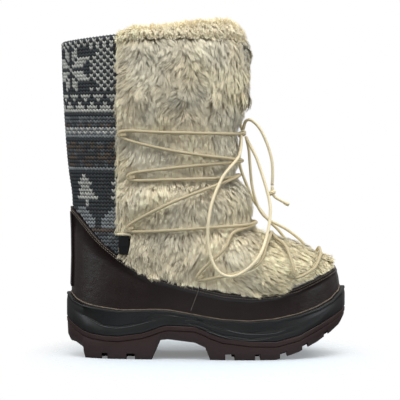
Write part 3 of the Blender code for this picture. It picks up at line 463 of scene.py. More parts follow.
class Finish:
    """A material that is being drawn."""

    def __init__(self, name, roughness, preview):
        self.material = bpy.data.materials.new(name)
        self.material.use_nodes = True
        self.material.diffuse_color = (*preview, 1)
        self.tree = self.material.node_tree
        self.shader = self.tree.nodes["Principled BSDF"]
        self.set("Roughness", roughness)
        self.set("Base Color", (*preview, 1))

    def put(self, socket, value):
        if isinstance(value, Wire):
            self.tree.links.new(value.output, socket)
        else:
            socket.default_value = value

    def set(self, socket, value):
        self.put(self.shader.inputs[socket], value)

    def node(self, kind, settings=None, output=0, **values):
        made = self.tree.nodes.new(kind)
        for key, value in (settings or {}).items():
            setattr(made, key, value)
        for key, value in values.items():
            self.put(made.inputs[key.replace("_", " ")], value)
        return Wire(self, made.outputs[output])

    def place(self):
        return self.node("ShaderNodeTexCoord", output="Object")

    def noise(self, scale, detail=3.0):
        return self.node("ShaderNodeTexNoise", Vector=self.place(), Scale=scale, Detail=detail)

    def ramp(self, factor, stops):
        made = self.tree.nodes.new("ShaderNodeValToRGB")
        ramp = made.color_ramp
        while len(ramp.elements) < len(stops):
            ramp.elements.new(0.5)
        for element, (position, colour) in zip(ramp.elements, stops):
            element.position = position
            element.color = (*colour, 1)
        self.put(made.inputs["Fac"], factor)
        return Wire(self, made.outputs["Color"])

    def mix(self, factor, first, second):
        made = self.tree.nodes.new("ShaderNodeMix")
        made.data_type = "RGBA"
        sides = (made.inputs[6], made.inputs[7])
        self.put(made.inputs[0], factor)
        for socket, value in zip(sides, (first, second)):
            self.put(socket, value if isinstance(value, Wire) else (*value, 1))
        return Wire(self, made.outputs[2])

    def bump(self, height, strength, distance):
        self.set("Normal", self.node("ShaderNodeBump", Height=height, Strength=strength, Distance=distance))


def wear(piece, finish):
    piece.data.materials.clear()
    piece.data.materials.append(finish.material)


def dress(piece, finish):
    """Give a new piece its finish and its slot, and let it ride on the boot."""
    wear(piece, finish)
    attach(piece, "root")


# %% [markdown]
# ## Woven cord
# The lace is a pale round cord of flat braided yarns. The braid is two families of diagonal ridges in the
# tube's own map, and each crossing stands up a little. Its grooves are painted darker than its ridges,
# as shade.

# %% Lace finish
YARNS_ROUND = 4
BRAID_SLANT = 1.5


def lace_finish(name, groove, ridge):
    finish = Finish(name, 0.8, ridge)
    weave_map = finish.node("ShaderNodeUVMap", {"uv_map": "weave"})
    split = finish.tree.nodes.new("ShaderNodeSeparateXYZ")
    finish.put(split.inputs[0], weave_map)
    round_way = Wire(finish, split.outputs["X"])
    along_way = Wire(finish, split.outputs["Y"])
    ridges = [finish.node("ShaderNodeMath", {"operation": "SINE"},
                          Value=2 * math.pi * (YARNS_ROUND * round_way + slant * along_way))
              for slant in (BRAID_SLANT, -BRAID_SLANT)]
    braid = 0.5 + 0.25 * (ridges[0] + ridges[1])
    # Painted shade: the braid's grooves take the darker colour, its ridges the paler one.
    colour = finish.mix(braid, groove, ridge)
    finish.set("Base Color", finish.mix(0.35 * finish.noise(60.0, 2.0), colour, groove))
    finish.bump(braid + 0.4 * finish.noise(900.0, 2.0), 0.6, 0.0003)
    return finish


pale_lace = lace_finish("lace_cord", (0.62, 0.52, 0.32), (0.97, 0.88, 0.64))
# The same cord painted darker, as shade, where it runs in the fur: the zigzag and the loops.
shaded_lace = lace_finish("lace_painted_shade", (0.38, 0.31, 0.18), (0.66, 0.57, 0.38))
for piece in lace_pieces:
    wear(piece, shaded_lace if piece in zigzags else pale_lace)
for name, node in nodes.items():
    if name.startswith("lace_loop"):
        wear(node, shaded_lace)
print("laced pieces:", len(lace_pieces))

# %% [markdown]
# ## Rubber, leather, felt
# The frame's own solids show here, each with a finish of its own: matt rubber with a fine moulded grain,
# leather with small creases and soft shine, and a felt foot bed.

# %% Smooth copy of a frame node
def smooth_copy(node, name, angle):
    """A merged copy of a node's mesh that stands for the node, smooth where it bends less than an angle."""
    piece = nodes[node].copy()
    piece.data = nodes[node].data.copy()
    piece.name = name
    piece.parent = None
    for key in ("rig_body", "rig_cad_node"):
        del piece[key]
    bpy.context.scene.collection.objects.link(piece)
    bpy.ops.object.select_all(action="DESELECT")
    piece.select_set(True)
    bpy.context.view_layer.objects.active = piece
    bpy.ops.object.mode_set(mode="EDIT")
    bpy.ops.mesh.select_all(action="SELECT")
    bpy.ops.mesh.remove_doubles(threshold=0.00002)
    bpy.ops.object.mode_set(mode="OBJECT")
    bpy.ops.object.shade_smooth_by_angle(angle=math.radians(angle))
    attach(piece, "root")
    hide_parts(node)
    return piece


EDGE_ROUNDING = {"cup": 1.3 * MM, "tread": 0.6 * MM}
outsole = smooth_copy("outsole", "tread", 30)
midsole = smooth_copy("midsole", "cup", 42)
rand = smooth_copy("leather_rand", "rand", 40)
stay = smooth_copy("back_stay", "stay", 30)
insole = smooth_copy("insole", "foot_bed", 30)
for piece in (midsole, outsole):
    bevel = piece.modifiers.new("rounded", "BEVEL")
    bevel.width = EDGE_ROUNDING[piece.name]
    bevel.segments = 3
    bevel.limit_method = "ANGLE"
    bevel.angle_limit = math.radians(48)
    bpy.ops.object.select_all(action="DESELECT")
    bpy.context.view_layer.objects.active = piece
    piece.select_set(True)
    bpy.ops.object.modifier_apply(modifier="rounded")

# %% Rubber finishes


def rubber(name, dark, light, roughness):
    finish = Finish(name, roughness, dark)
    grain = finish.noise(1400.0, 2.0)
    cloud = finish.noise(38.0, 4.0)
    finish.set("Base Color", finish.mix(cloud * 0.8 + grain * 0.2, dark, light))
    finish.set("Roughness", roughness - 0.12 + 0.24 * cloud)
    finish.bump(grain + 0.5 * finish.noise(420.0, 3.0), 0.25, 0.0002)
    finish.shader.inputs["Specular IOR Level"].default_value = 0.3
    return finish


brown_rubber = rubber("brown_rubber", (0.0180, 0.0078, 0.0074), (0.037, 0.0180, 0.0165), 0.5)
charcoal_rubber = rubber("charcoal_rubber", (0.0070, 0.0070, 0.0070), (0.0180, 0.0175, 0.0170), 0.44)
wear(outsole, brown_rubber)
wear(midsole, charcoal_rubber)

# %% Leather finish
leather = Finish("dark_leather", 0.45, (0.022, 0.015, 0.013))
pebbles = leather.node("ShaderNodeTexVoronoi", {"feature": "DISTANCE_TO_EDGE"},
                       Vector=leather.place(), Scale=620.0)
creases = leather.noise(150.0, 5.0)
cloud = leather.noise(26.0, 3.0)
leather.set("Base Color", leather.mix(cloud, (0.0090, 0.0048, 0.0042), (0.0220, 0.0118, 0.0100)))
leather.set("Roughness", 0.24 + 0.26 * creases)
leather.shader.inputs["Specular IOR Level"].default_value = 0.36
leather.shader.inputs["Coat Weight"].default_value = 0.12
leather.shader.inputs["Coat Roughness"].default_value = 0.3
leather.bump(0.5 * pebbles + creases, 0.5, 0.0006)
wear(rand, leather)
wear(stay, leather)

# %% Felt and fleece finishes
felt = Finish("grey_felt", 0.95, (0.30, 0.28, 0.25))
felt.set("Base Color", felt.mix(felt.noise(500.0, 4.0), (0.20, 0.18, 0.16), (0.42, 0.39, 0.34)))
felt.bump(felt.noise(900.0, 3.0), 0.6, 0.0006)
wear(insole, felt)
fleece = Finish("fleece", 0.95, (0.45, 0.42, 0.36))
curls = fleece.noise(260.0, 4.0)
fleece.set("Base Color", fleece.mix(curls, (0.30, 0.27, 0.22), (0.70, 0.66, 0.57)))
fleece.bump(curls, 0.9, 0.0025)
lining = smooth_copy("upper", "lining", 50)
wear(lining, fleece)

# %% [markdown]
# ## Stitches on the rand
# Two rows of thread hold the rand's bound edge, and one runs up the seam in the middle of its side. Each
# stitch is one small capsule, so the rows are joined meshes of many copies of one shape.

# %% Thread stitches


def capsule():
    """One stitch along X, a unit long and a unit thick."""
    points, faces = [], []
    for x, size in ((-0.5, 0.35), (-0.32, 0.9), (0, 1.0), (0.32, 0.9), (0.5, 0.35)):
        for k in range(6):
            turn = math.pi * k / 3
            points.append((x, size * 0.5 * math.cos(turn), size * 0.5 * math.sin(turn)))
    for i in range(4):
        for k in range(6):
            j = (k + 1) % 6
            faces.append((i * 6 + k, i * 6 + j, (i + 1) * 6 + j, (i + 1) * 6 + k))
    faces.append(tuple(reversed(range(6))))
    faces.append(tuple(24 + k for k in range(6)))
    return np.array(points), faces


def stitches(name, spots, normals, length, pitch, thickness):
    """Capsules end to end along a line of spots, half sunk in the surface."""
    shape, shape_faces = capsule()
    along = distances(spots)
    points, faces = [], []
    for at in np.arange(pitch / 2, along[-1], pitch):
        here = value_at(at, along, spots)
        ahead = value_at(min(at + 0.5 * MM, along[-1]), along, spots) - here
        ahead /= max(np.linalg.norm(ahead), 1e-9)
        normal = value_at(at, along, normals)
        side = np.cross(normal, ahead)
        start = len(points)
        for x, y, z in shape:
            points.append(here + ahead * x * length + side * y * thickness + normal * z * thickness)
        faces.extend(tuple(start + k for k in face) for face in shape_faces)
    return mesh_object(name, points, faces)


RAND_AXIS = Vector((0.095, 0, 0))
STITCH_DROPS = (1.7 * MM, 4.3 * MM)
rand_turns = np.radians(np.arange(0, 361, 1.5))
rand_tops = [top_of(rand_tree, turn, 0.060, 0.170, RAND_AXIS) for turn in rand_turns]
rows = []
for drop in STITCH_DROPS:
    spots, normals = [], []
    for turn, top in zip(rand_turns, rand_tops):
        hit, normal = ray_in(rand_tree, turn, top - drop, RAND_AXIS)
        if hit:
            spots.append(hit)
            normals.append(normal)
    rows.append((np.array(spots), np.array(normals)))
thread = Finish("thread", 0.7, (0.05, 0.035, 0.03))
thread.set("Base Color", thread.mix(thread.noise(600.0), (0.085, 0.066, 0.050), (0.28, 0.23, 0.17)))
for order, (spots, normals) in enumerate(rows):
    row = stitches(f"edge_stitches_{order + 1}", spots, normals, 2.0 * MM, 2.7 * MM, 0.8 * MM)
    dress(row, thread)

# %% Seam on each side, and the worn line over the midsole
SEAM_TOP, SEAM_FOOT = (0.0842, 0.0728), (0.0759, 0.0505)
pale_thread = Finish("pale_thread", 0.7, (0.20, 0.17, 0.14))
for side, label in ((-1, "outer"), (1, "inner")):
    spots, normals = [], []
    for share in np.linspace(0, 1, 24):
        x, z = (a + (b - a) * share for a, b in zip(SEAM_TOP, SEAM_FOOT))
        hit, normal, _, _ = rand_tree.ray_cast(Vector((x, side * 0.2, z)), Vector((0, -side, 0)))
        spots.append(hit)
        normals.append(normal)
    seam = stitches(f"seam_{label}", np.array(spots), np.array(normals), 1.7 * MM, 1.75 * MM, 0.5 * MM)
    dress(seam, pale_thread)
midsole_tree = tree_of("midsole")
worn_spots = []
for turn in rand_turns[:-1]:
    top = top_of(midsole_tree, turn, 0.036, 0.075, RAND_AXIS)
    hit, normal = ray_in(rand_tree, turn, top + 0.5 * MM, RAND_AXIS)
    worn_spots.append(tuple(hit + normal * 0.1 * MM))
worn_line = tube("worn_line", smooth_route(worn_spots + worn_spots[:1], 4.0 * MM), 0.75 * MM, 6)
worn_finish = Finish("worn_edge", 0.85, (0.09, 0.07, 0.05))
worn = worn_finish.noise(170.0, 4.0)
worn_finish.set("Base Color", worn_finish.mix(worn, (0.045, 0.036, 0.029), (0.26, 0.20, 0.145)))
dress(worn_line, worn_finish)
print("rand edge from", round(min(rand_tops), 3), "to", round(max(rand_tops), 3))

# %% [markdown]
# ## Grooves in the cup
# A mould leaves long curved grooves in the side of a cup sole. Each is drawn as a fine near-black line,
# painted shade that stands for the groove, with a raised lip under it that is paler and glossier, a painted
# highlight; both are laid on the cup's side by rays, thick in the middle and thin at both ends.

# %% Grooves, in millimetres along and up
GROOVES = {
    "heel": [(-30, 42), (-22, 38), (-13, 34.5), (-2, 33.2), (8, 34), (20, 36.3), (31, 39.3), (40, 41.6)],
    "fore_upper": [(70, 41.4), (77, 42), (89, 39), (105, 34.5), (120, 30.3), (133, 28.2), (150, 28),
                   (163, 29.2),
                   (172, 32)],
    "fore_lower": [(70, 40), (80, 35.4), (92, 30.8), (112, 24.7), (128, 22), (143, 21.8), (158, 24.4)],
}
# Painted shade and highlight: the near-black line is the groove's shade, the paler lip its highlight.
groove_shade_finish = Finish("groove", 0.7, (0.002, 0.002, 0.002))
lip_highlight_finish = Finish("groove_lip_highlight", 0.34, (0.045, 0.045, 0.046))
for label, line in GROOVES.items():
    for side, way in (("outer", -1), ("inner", 1)):
        for part, drop, radius, finish in (("line", 0, 0.62, groove_shade_finish),
                                           ("lip", -1.0, 0.55, lip_highlight_finish)):
            spots = []
            for x, z in smooth_route([(x, 0, z + drop) for x, z in line], 3.0)[:, [0, 2]]:
                start = Vector((x * MM, way * 0.2, z * MM))
                hit = midsole_tree.ray_cast(start, Vector((0, -way, 0)))[0]
                spots.append(tuple(hit))
            swell = 0.25 + 0.75 * np.sin(np.linspace(0, math.pi, len(spots)))
            made = tube(f"groove_{label}_{side}_{part}", np.array(spots), radius * MM * swell, 6)
            dress(made, finish)
print("grooves:", len(GROOVES), "on each side")

# %% [markdown]
# ## The knitted sock
# A knit is rows of V-shaped stitches, and its pattern is worked from a chart, one letter to a stitch. The
# chart here is of the kind that any pattern book has: stars beside a lattice, a zigzag, plain and marled
# bands, and small firs. Each stitch is two slanting lobes of wool, so the knit has real relief, and a
# near-black sheet just over the frame's face closes the chinks between them, as painted shade.

# %% Wool colours and chart
WOOL = {
    "K": (0.020, 0.026, 0.031),     # near-black
    "W": (0.56, 0.56, 0.51),        # white
    "G": (0.15, 0.16, 0.165),       # grey
    "B": (0.082, 0.094, 0.101),     # blue-grey
    "N": (0.092, 0.060, 0.037),     # nut brown
    "M": (0.038, 0.040, 0.042),     # dark grey
    "S": (0.25, 0.27, 0.275),       # silver
}
STAR = ["KKKKWKKKWKKKK", "KKKKWWKWWKKKK", "KKKKWWKWWKKKK", "WWWWKWKWKWWWW", "KWWWWKKKWWWWK",
        "KKWWWWKWWWWKK", "KKKKKKWKKKKKK"]
STAR = STAR + STAR[-2::-1]
FIR = ["KKKWKKK", "KKWWWKK", "KWWWWWK", "KKWWWKK", "KWWWWWK", "KWWWWWK", "WWWWWWW", "KKKWKKK", "KKKWKKK"]


def chart(row, column):
    """The wool of a stitch, by its row from the rim and its column from the back seam."""
    marl = int(abs(noise.noise((row * 3.1, column * 2.3, 5.0))) * 97) % 4
    if row < 0:
        return "K"
    if row < 2:
        return "KW"[(row + column) % 2]
    if row < 15:
        across = column % 21
        if across < 13:
            return STAR[row - 2][across]
        return "W" if (row + across) % 2 and abs(across - 17) + abs(row - 8) % 6 < 7 else "K"
    if row in (15, 21):
        return "K"
    if row < 21:
        wave = abs((column % 4) - 2)
        return "K" if row - 17 in (wave, wave - 1) else "W"
    if row < 24:
        return "GGBB"[marl]
    if row == 24:
        return "NBNK"[marl]
    if row < 28:
        return "W" if (column + row) % 2 and row != 27 else "S"
    if row == 28:
        return "K"
    if row < 36:
        return "NKMB"[marl] if row % 3 else "NNKM"[marl]
    if row == 36:
        return "S"
    if row == 37:
        return "K"
    if row < 47:
        return FIR[row - 38][column % 11] if column % 11 < 7 else "KKKM"[marl]
    if row < 53:
        place = (column + 3) % 11
        return "S" if abs(place - 4) < row - 45 and place < 9 else "KKMM"[marl]
    return "N" if row == 53 else "BBGM"[marl]


# %% Painted shade between the stitches
GROUND_EDGE = 16.0 * MM
GROUND_FOOT = 58.0 * MM
ground_points, ground_corners, ground_normals, ground_faces = smooth_surface("upper")
faces = []
for corner, face_normal in zip(ground_corners, ground_faces):
    middle = ground_points[corner].mean(axis=0)
    outside = np.dot(face_normal[:2], middle[:2] - [SHAFT_AXIS.x, 0]) > 0
    if outside and middle[0] < GROUND_EDGE and middle[2] > GROUND_FOOT:
        faces.append(corner)
ground = mesh_object("knit_chink_shade", ground_points + ground_normals * 0.25 * MM, faces)
# Painted shade: one near-black colour in every chink, whatever the wool round it.
chink_shade_finish = Finish("chink_painted_shade", 0.95, (0.02, 0.022, 0.024))
dress(ground, chink_shade_finish)
print("ground under the stitches:", len(faces), "faces")

# %% Stitch by stitch
STITCH_WIDE = 3.6 * MM
STITCH_HIGH = 3.7 * MM
LOBE_LONG = 1.46 * STITCH_HIGH
LOBE_WIDE = 0.57            # of a stitch's width
LOBE_THICK = 1.7 * MM
LOBE_LEAN = math.radians(29)
LOBE_RISE = 0.04            # how much a lobe's upper end stands off, of its length
KNIT_EDGE = 10.0 * MM
KNIT_FOOT = 66.0 * MM
lobe_shape, lobe_faces = [(-0.5, 0, 0)], []
for x in (-0.2, 0.2):
    for k in range(5):
        turn = 2 * math.pi * k / 5
        lobe_shape.append((x, 0.5 * math.cos(turn), 0.5 * math.sin(turn)))
lobe_shape.append((0.5, 0, 0))
for k in range(5):
    j = (k + 1) % 5
    lobe_faces += [(0, 1 + j, 1 + k), (11, 6 + k, 6 + j), (1 + k, 1 + j, 6 + j, 6 + k)]
lobe_shape = np.array(lobe_shape)
KNIT_TURNS = np.radians(np.arange(60, 301, 3.0))
KNIT_RIMS = [top_of(upper_tree, turn, 0.28, 0.36) for turn in KNIT_TURNS]
RIM_FOLDS = {-1: (0.75, 0.9 * MM), -2: (1.45, 2.9 * MM)}


def knit_row(row):
    """Spots and normals along a row, from the outer edge of the fur round the back to the inner edge."""
    spots, normals = [], []
    for turn, rim in zip(KNIT_TURNS, KNIT_RIMS):
        drop = (max(row, 0) + 0.5) * STITCH_HIGH + 0.6 * MM
        follow = max(0, 1 - row / 16)
        hit, normal = ray_in(upper_tree, turn, collar_height - drop + (rim - collar_height) * follow)
        if hit and hit.x < KNIT_EDGE:
            spots.append(hit)
            normals.append(normal)
    return np.array(spots), np.array(normals)


stitch_points, stitch_faces, stitch_colours = [], [], []
collar_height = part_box("upper")[1].z
knit_rows = int((collar_height - KNIT_FOOT) / STITCH_HIGH)
for row in range(-2, knit_rows):
    spots, normals = knit_row(row)
    along = distances(spots)
    columns = 2 * round(along[-1] / STITCH_WIDE / 2)
    wide = along[-1] / columns
    for column in range(columns):
        at = (column + 0.5) * wide
        here = value_at(at, along, spots)
        normal = value_at(at, along, normals)
        normal /= np.linalg.norm(normal)
        side = np.cross([0, 0, 1.0], normal)
        side /= np.linalg.norm(side)
        if row < 0:
            tilt, inward = RIM_FOLDS[row]
            here = here - normal * inward + np.array([0, 0, (1.8 - 0.4 * row) * MM])
            normal = normal * math.cos(tilt) + np.array([0, 0, math.sin(tilt)])
        rise = np.cross(normal, side)
        below = rand_tree.ray_cast(Vector(here + normal * 0.02), Vector(-normal), 0.03)[0]
        if below is not None:
            continue
        wool = np.array(WOOL[chart(row, column - columns // 2 + 105)]) * chance.uniform(0.8, 1.2)
        for leg in (-1, 1):
            lean = LOBE_LEAN * leg
            ahead = rise * math.cos(lean) + side * math.sin(lean) + normal * LOBE_RISE
            aside = np.cross(normal, ahead)
            middle = here + side * leg * wide * 0.25 + normal * 0.35 * MM
            start = len(stitch_points)
            stitch_points.extend(middle + ahead * x * LOBE_LONG + aside * y * wide * LOBE_WIDE
                                 + normal * z * LOBE_THICK for x, y, z in lobe_shape)
            stitch_faces.extend(tuple(start + k for k in face) for face in lobe_faces)
            stitch_colours.extend([(*wool, 1.0)] * len(lobe_shape))
knit = mesh_object("knit", stitch_points, stitch_faces)
layer = knit.data.color_attributes.new("wool", "FLOAT_COLOR", "POINT")
layer.data.foreach_set("color", np.array(stitch_colours, np.float32).ravel())
knit_finish = Finish("knitted_wool", 0.95, (0.2, 0.2, 0.2))
wool_colour = knit_finish.node("ShaderNodeVertexColor", {"layer_name": "wool"})
hairs = knit_finish.noise(1500.0, 2.0)
knit_finish.set("Base Color", knit_finish.mix(0.4 * hairs, wool_colour, (0.12, 0.12, 0.12)))
knit_finish.bump(hairs, 0.5, 0.0003)
dress(knit, knit_finish)
print("knit:", knit_rows, "rows of", columns, "stitches")

# %% [markdown]
# ## The fur
# Long fur is many fine hairs that lie in locks. Hairs of one lock lean together, so their tips meet and a
# shadow opens between one lock and the next. Each hair is a narrow ribbon that tapers to a point: it
# grows from the hide, bends over and lies down along the coat. Near the lace it is pressed flat.

# %% Where hairs grow


def unit(vectors):
    return vectors / np.maximum(np.linalg.norm(vectors, axis=1), 1e-9)[:, None]


def scatter(name, density):
    """Random spots on a node, so many to a square metre, with smooth normals."""
    points, corners, normals, faces = smooth_surface(name)
    areas = np.linalg.norm(faces, axis=1) / 2
    count = int(areas.sum() * density)
    chosen = chance.choice(len(areas), count, p=areas / areas.sum())
    a, b = chance.random(count), chance.random(count)
    flip = a + b > 1
    a[flip], b[flip] = 1 - a[flip], 1 - b[flip]
    shares = np.stack([1 - a - b, a, b], axis=1)[:, :, None]
    own = corners[chosen]
    flat = unit(faces[chosen])
    smooth = unit((normals[own] * shares).sum(axis=1) + 0.3 * flat)
    return (points[own] * shares).sum(axis=1), smooth, flat


def noise_field(points, size, seed):
    return np.array([noise.noise(Vector(p / size) + Vector((seed, seed * 2.3, 0))) for p in points])


def ease(values, low, high):
    share = np.clip((values - low) / (high - low), 0, 1)
    return share * share * (3 - 2 * share)


# %% Which way the fur lies
PARTING = (0.0735, 0.278)


def fur_flow(points, normals):
    """Down the shaft, forward over the toe, back over the knit, and apart at the parting."""
    x, y, z = points.T
    vamp = ease(z, 0.150, 0.100) * ease(x, 0.095, 0.150)
    flow = np.zeros_like(points)
    flow[:, 2] = -1 + 0.5 * vamp
    flow[:, 0] = 1.0 * vamp - 0.55 * ease(x, 0.022, 0.002)
    flow[:, 1] = 0.5 * vamp * np.sign(y) * ease(np.abs(y), 0, 0.03)
    aside = x - PARTING[0] - 4.0 * MM * np.sin((z - PARTING[1]) * 95)
    near = np.exp(-(aside / 0.013) ** 2) * ease(np.abs(z - PARTING[1]), 0.050, 0.030)
    flow[:, 0] += 0.6 * np.clip(aside / 0.003, -1, 1) * near
    flow = unit(flow - normals * (flow * normals).sum(axis=1)[:, None])
    turn = 0.85 * noise_field(points, 0.022, 3.0) + 0.40 * noise_field(points, 0.009, 9.0)
    turn = turn * (1 + 0.5 * ease(z, 0.20, 0.30)) + 0.12 * chance.normal(size=len(points))
    across = np.cross(normals, flow)
    return unit(flow * np.cos(turn)[:, None] + across * np.sin(turn)[:, None])


# %% Lay one coat of hairs
lace_points = kdtree.KDTree(len(lace_track))
for i, spot in enumerate(lace_track):
    lace_points.insert(spot, i)
lace_points.balance()


def pressed(points):
    """How near the lace is, from 1 under it to 0 beyond 8 mm."""
    reach = np.array([lace_points.find(Vector(p))[2] for p in points])
    return 1 - ease(reach, 0.0030, 0.0085)


def lie_on(tree, points, normals, heights):
    """Move points to a height over the nearest surface."""
    laid = np.empty_like(points)
    for i, point in enumerate(points):
        hit, _, _, _ = tree.find_nearest(Vector(point))
        laid[i] = hit
    return laid + normals * heights[:, None]


def lock_of(points, spacing):
    """Number of the nearest lock centre for each point."""
    kept, taken = [], set()
    for i in chance.permutation(len(points)):
        cell = tuple((points[i] / spacing).astype(int))
        if cell not in taken:
            taken.add(cell)
            kept.append(i)
    centres = kdtree.KDTree(len(kept))
    for number, i in enumerate(kept):
        centres.insert(points[i], number)
    centres.balance()
    return np.array(kept), np.array([centres.find(Vector(p))[1] for p in points])


def ribbons(name, roots, bends, tips, normals, widths, root_colours, tip_colours):
    """Tapered ribbons of three stretches, each on its own curve, as one mesh."""
    count = len(roots)
    shares = (0.0, 0.38, 0.75, 1.0)
    line = [((1 - t) ** 2) * roots + 2 * t * (1 - t) * bends + t * t * tips for t in shares]
    side = unit(np.cross(tips - roots, normals))
    points, colours = [], []
    for t, spot, taper in zip(shares, line, (0.8, 1.0, 0.7, 0.0)):
        colour = root_colours + (tip_colours - root_colours) * min(1, t * 1.25)
        if taper:
            half = side * (widths * taper / 2)[:, None]
            points += [spot - half, spot + half]
            colours += [colour, colour]
        else:
            points.append(spot)
            colours.append(colour)
    points = np.stack(points, axis=1).reshape(-1, 3)
    colours = np.stack(colours, axis=1).reshape(-1, 3)
    base = np.arange(count)[:, None] * 7
    quads = np.concatenate([base + [0, 1, 3, 2], base + [2, 3, 5, 4]], axis=1).reshape(-1, 4)
    ends = base + [4, 5, 6]
    loops = np.concatenate([quads.ravel(), ends.ravel()])
    mesh = bpy.data.meshes.new(name)
    mesh.vertices.add(len(points))
    mesh.vertices.foreach_set("co", points.ravel())
    mesh.loops.add(len(loops))
    mesh.loops.foreach_set("vertex_index", loops)
    mesh.polygons.add(len(quads) + len(ends))
    starts = np.concatenate([np.arange(len(quads)) * 4, len(quads) * 4 + np.arange(len(ends)) * 3])
    mesh.polygons.foreach_set("loop_start", starts)
    mesh.update(calc_edges=True)
    mesh.shade_smooth()
    layer = mesh.color_attributes.new("tone", "FLOAT_COLOR", "POINT")
    layer.data.foreach_set("color", np.concatenate([colours, np.ones((len(colours), 1))], axis=1).ravel())
    made = bpy.data.objects.new(name, mesh)
    bpy.context.scene.collection.objects.link(made)
    return made


# %% Finish of the hairs
fur_finish = Finish("fur", 0.62, (0.72, 0.64, 0.47))
fur_finish.set("Base Color", fur_finish.node("ShaderNodeVertexColor", {"layer_name": "tone"}))
fur_finish.shader.inputs["Sheen Weight"].default_value = 0.3
fur_finish.shader.inputs["Specular IOR Level"].default_value = 0.25
# The hide's dull tan is painted shade, standing for the shadow between the locks.
hide_shade_finish = Finish("fur_hide_shade", 0.95, (0.30, 0.24, 0.16))
hide_cloud = hide_shade_finish.noise(240.0, 4.0)
hide_shade_finish.set("Base Color", hide_shade_finish.mix(hide_cloud, (0.30, 0.23, 0.14), (0.62, 0.52, 0.36)))
hide_shade_finish.bump(hide_cloud, 1.0, 0.002)

# %% [markdown]
# The hide is the sock's own face, moved outward by under half the coat's depth, so what shows between the
# locks is soft and shaded: its dull mottled tan is painted shade of the gaps between locks. Over the instep
# it also takes faces that the coat covers only in part, so that no wool shows there.

# %% Hide under the fur


def hide_under_fur():
    points, corners, normals, _ = smooth_surface("upper")
    moved = points + normals * 0.6 * MM
    covered = np.zeros(len(points), bool)
    for i, (point, normal) in enumerate(zip(points, normals)):
        hit, _, _, reach = coat_tree.ray_cast(Vector(point + normal * 0.0012), Vector(normal), 0.03)
        if hit is not None:
            covered[i] = True
            moved[i] = point + normal * (0.0012 + 0.42 * reach)
    faces = []
    for face in corners:
        over_instep = points[face][:, 0].min() > 0.035 and points[face][:, 2].min() > 0.088
        if covered[face].all() or (over_instep and covered[face].any()):
            faces.append(face)
    return mesh_object("fur_hide_shade", moved, faces)


hide = hide_under_fur()
dress(hide, hide_shade_finish)
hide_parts("fur_front")

# %% Colours of the hairs
CREAM = np.array((0.90, 0.81, 0.60))
SILVER = np.array((0.82, 0.765, 0.60))
HONEY = np.array((0.95, 0.85, 0.55))
# Root colours, darker than the tips: partly the fur's own tone, partly painted shade deep in the coat.
ROOT_TAN_AND_SHADE = np.array((0.66, 0.54, 0.35))
ROOT_GREY_AND_SHADE = np.array((0.64, 0.575, 0.43))


def hair_colours(points, locks, count):
    """Root and tip colours: cream locks, cooler in clouds and on the shin, and warmer over the toe. The
    darker roots are partly the fur's own tone and partly painted shade deep in the coat.
    """
    x, y, z = points.T
    warm = ease(x, 0.11, 0.17) * ease(z, 0.15, 0.11) * 0.8
    warm = np.clip(warm + 0.55 * ease(noise_field(points, 0.045, 21.0), 0.0, 0.5), 0, 1)[:, None]
    upper_shin = ease(x, 0.07, 0.11) * ease(z, 0.16, 0.20)
    cool = ease(noise_field(points, 0.035, 33.0) + 0.5 * upper_shin, 0.0, 0.45)[:, None]
    tip = CREAM + (HONEY - CREAM) * warm * 0.8 + (SILVER - CREAM) * cool * (1 - warm)
    shade = (chance.uniform(0.78, 1.12, count)[locks] * chance.uniform(0.88, 1.1, len(points)))[:, None]
    root = ROOT_TAN_AND_SHADE + (ROOT_GREY_AND_SHADE - ROOT_TAN_AND_SHADE) * cool
    patch = 0.90 + 0.16 * ease(noise_field(points, 0.028, 55.0), -0.4, 0.4)[:, None]
    return root * patch ** 2 * shade, np.clip(tip * patch * shade, 0, 0.95)


HAIR_LONG = 12.5 * MM
HAIR_WIDE = 0.54 * MM
LOCK_WIDE = 3.8 * MM
HEM_OVERHANG = 1.6 * MM
HEM = MM * np.array([(3, 101), (15, 92.5), (36, 84), (63, 78), (89, 75), (116, 70.5), (142, 65.5),
                     (166, 68.5), (175, 77), (200, 84.5), (222, 91), (232, 94.5)])
FUR_TOE = 221.5 * MM


def hem_height(points):
    """The height of the fur's lower edge over the leather, a little uneven."""
    return np.interp(points[:, 0], *HEM.T) + 2.2 * MM * noise_field(points, 0.007, 41.0)


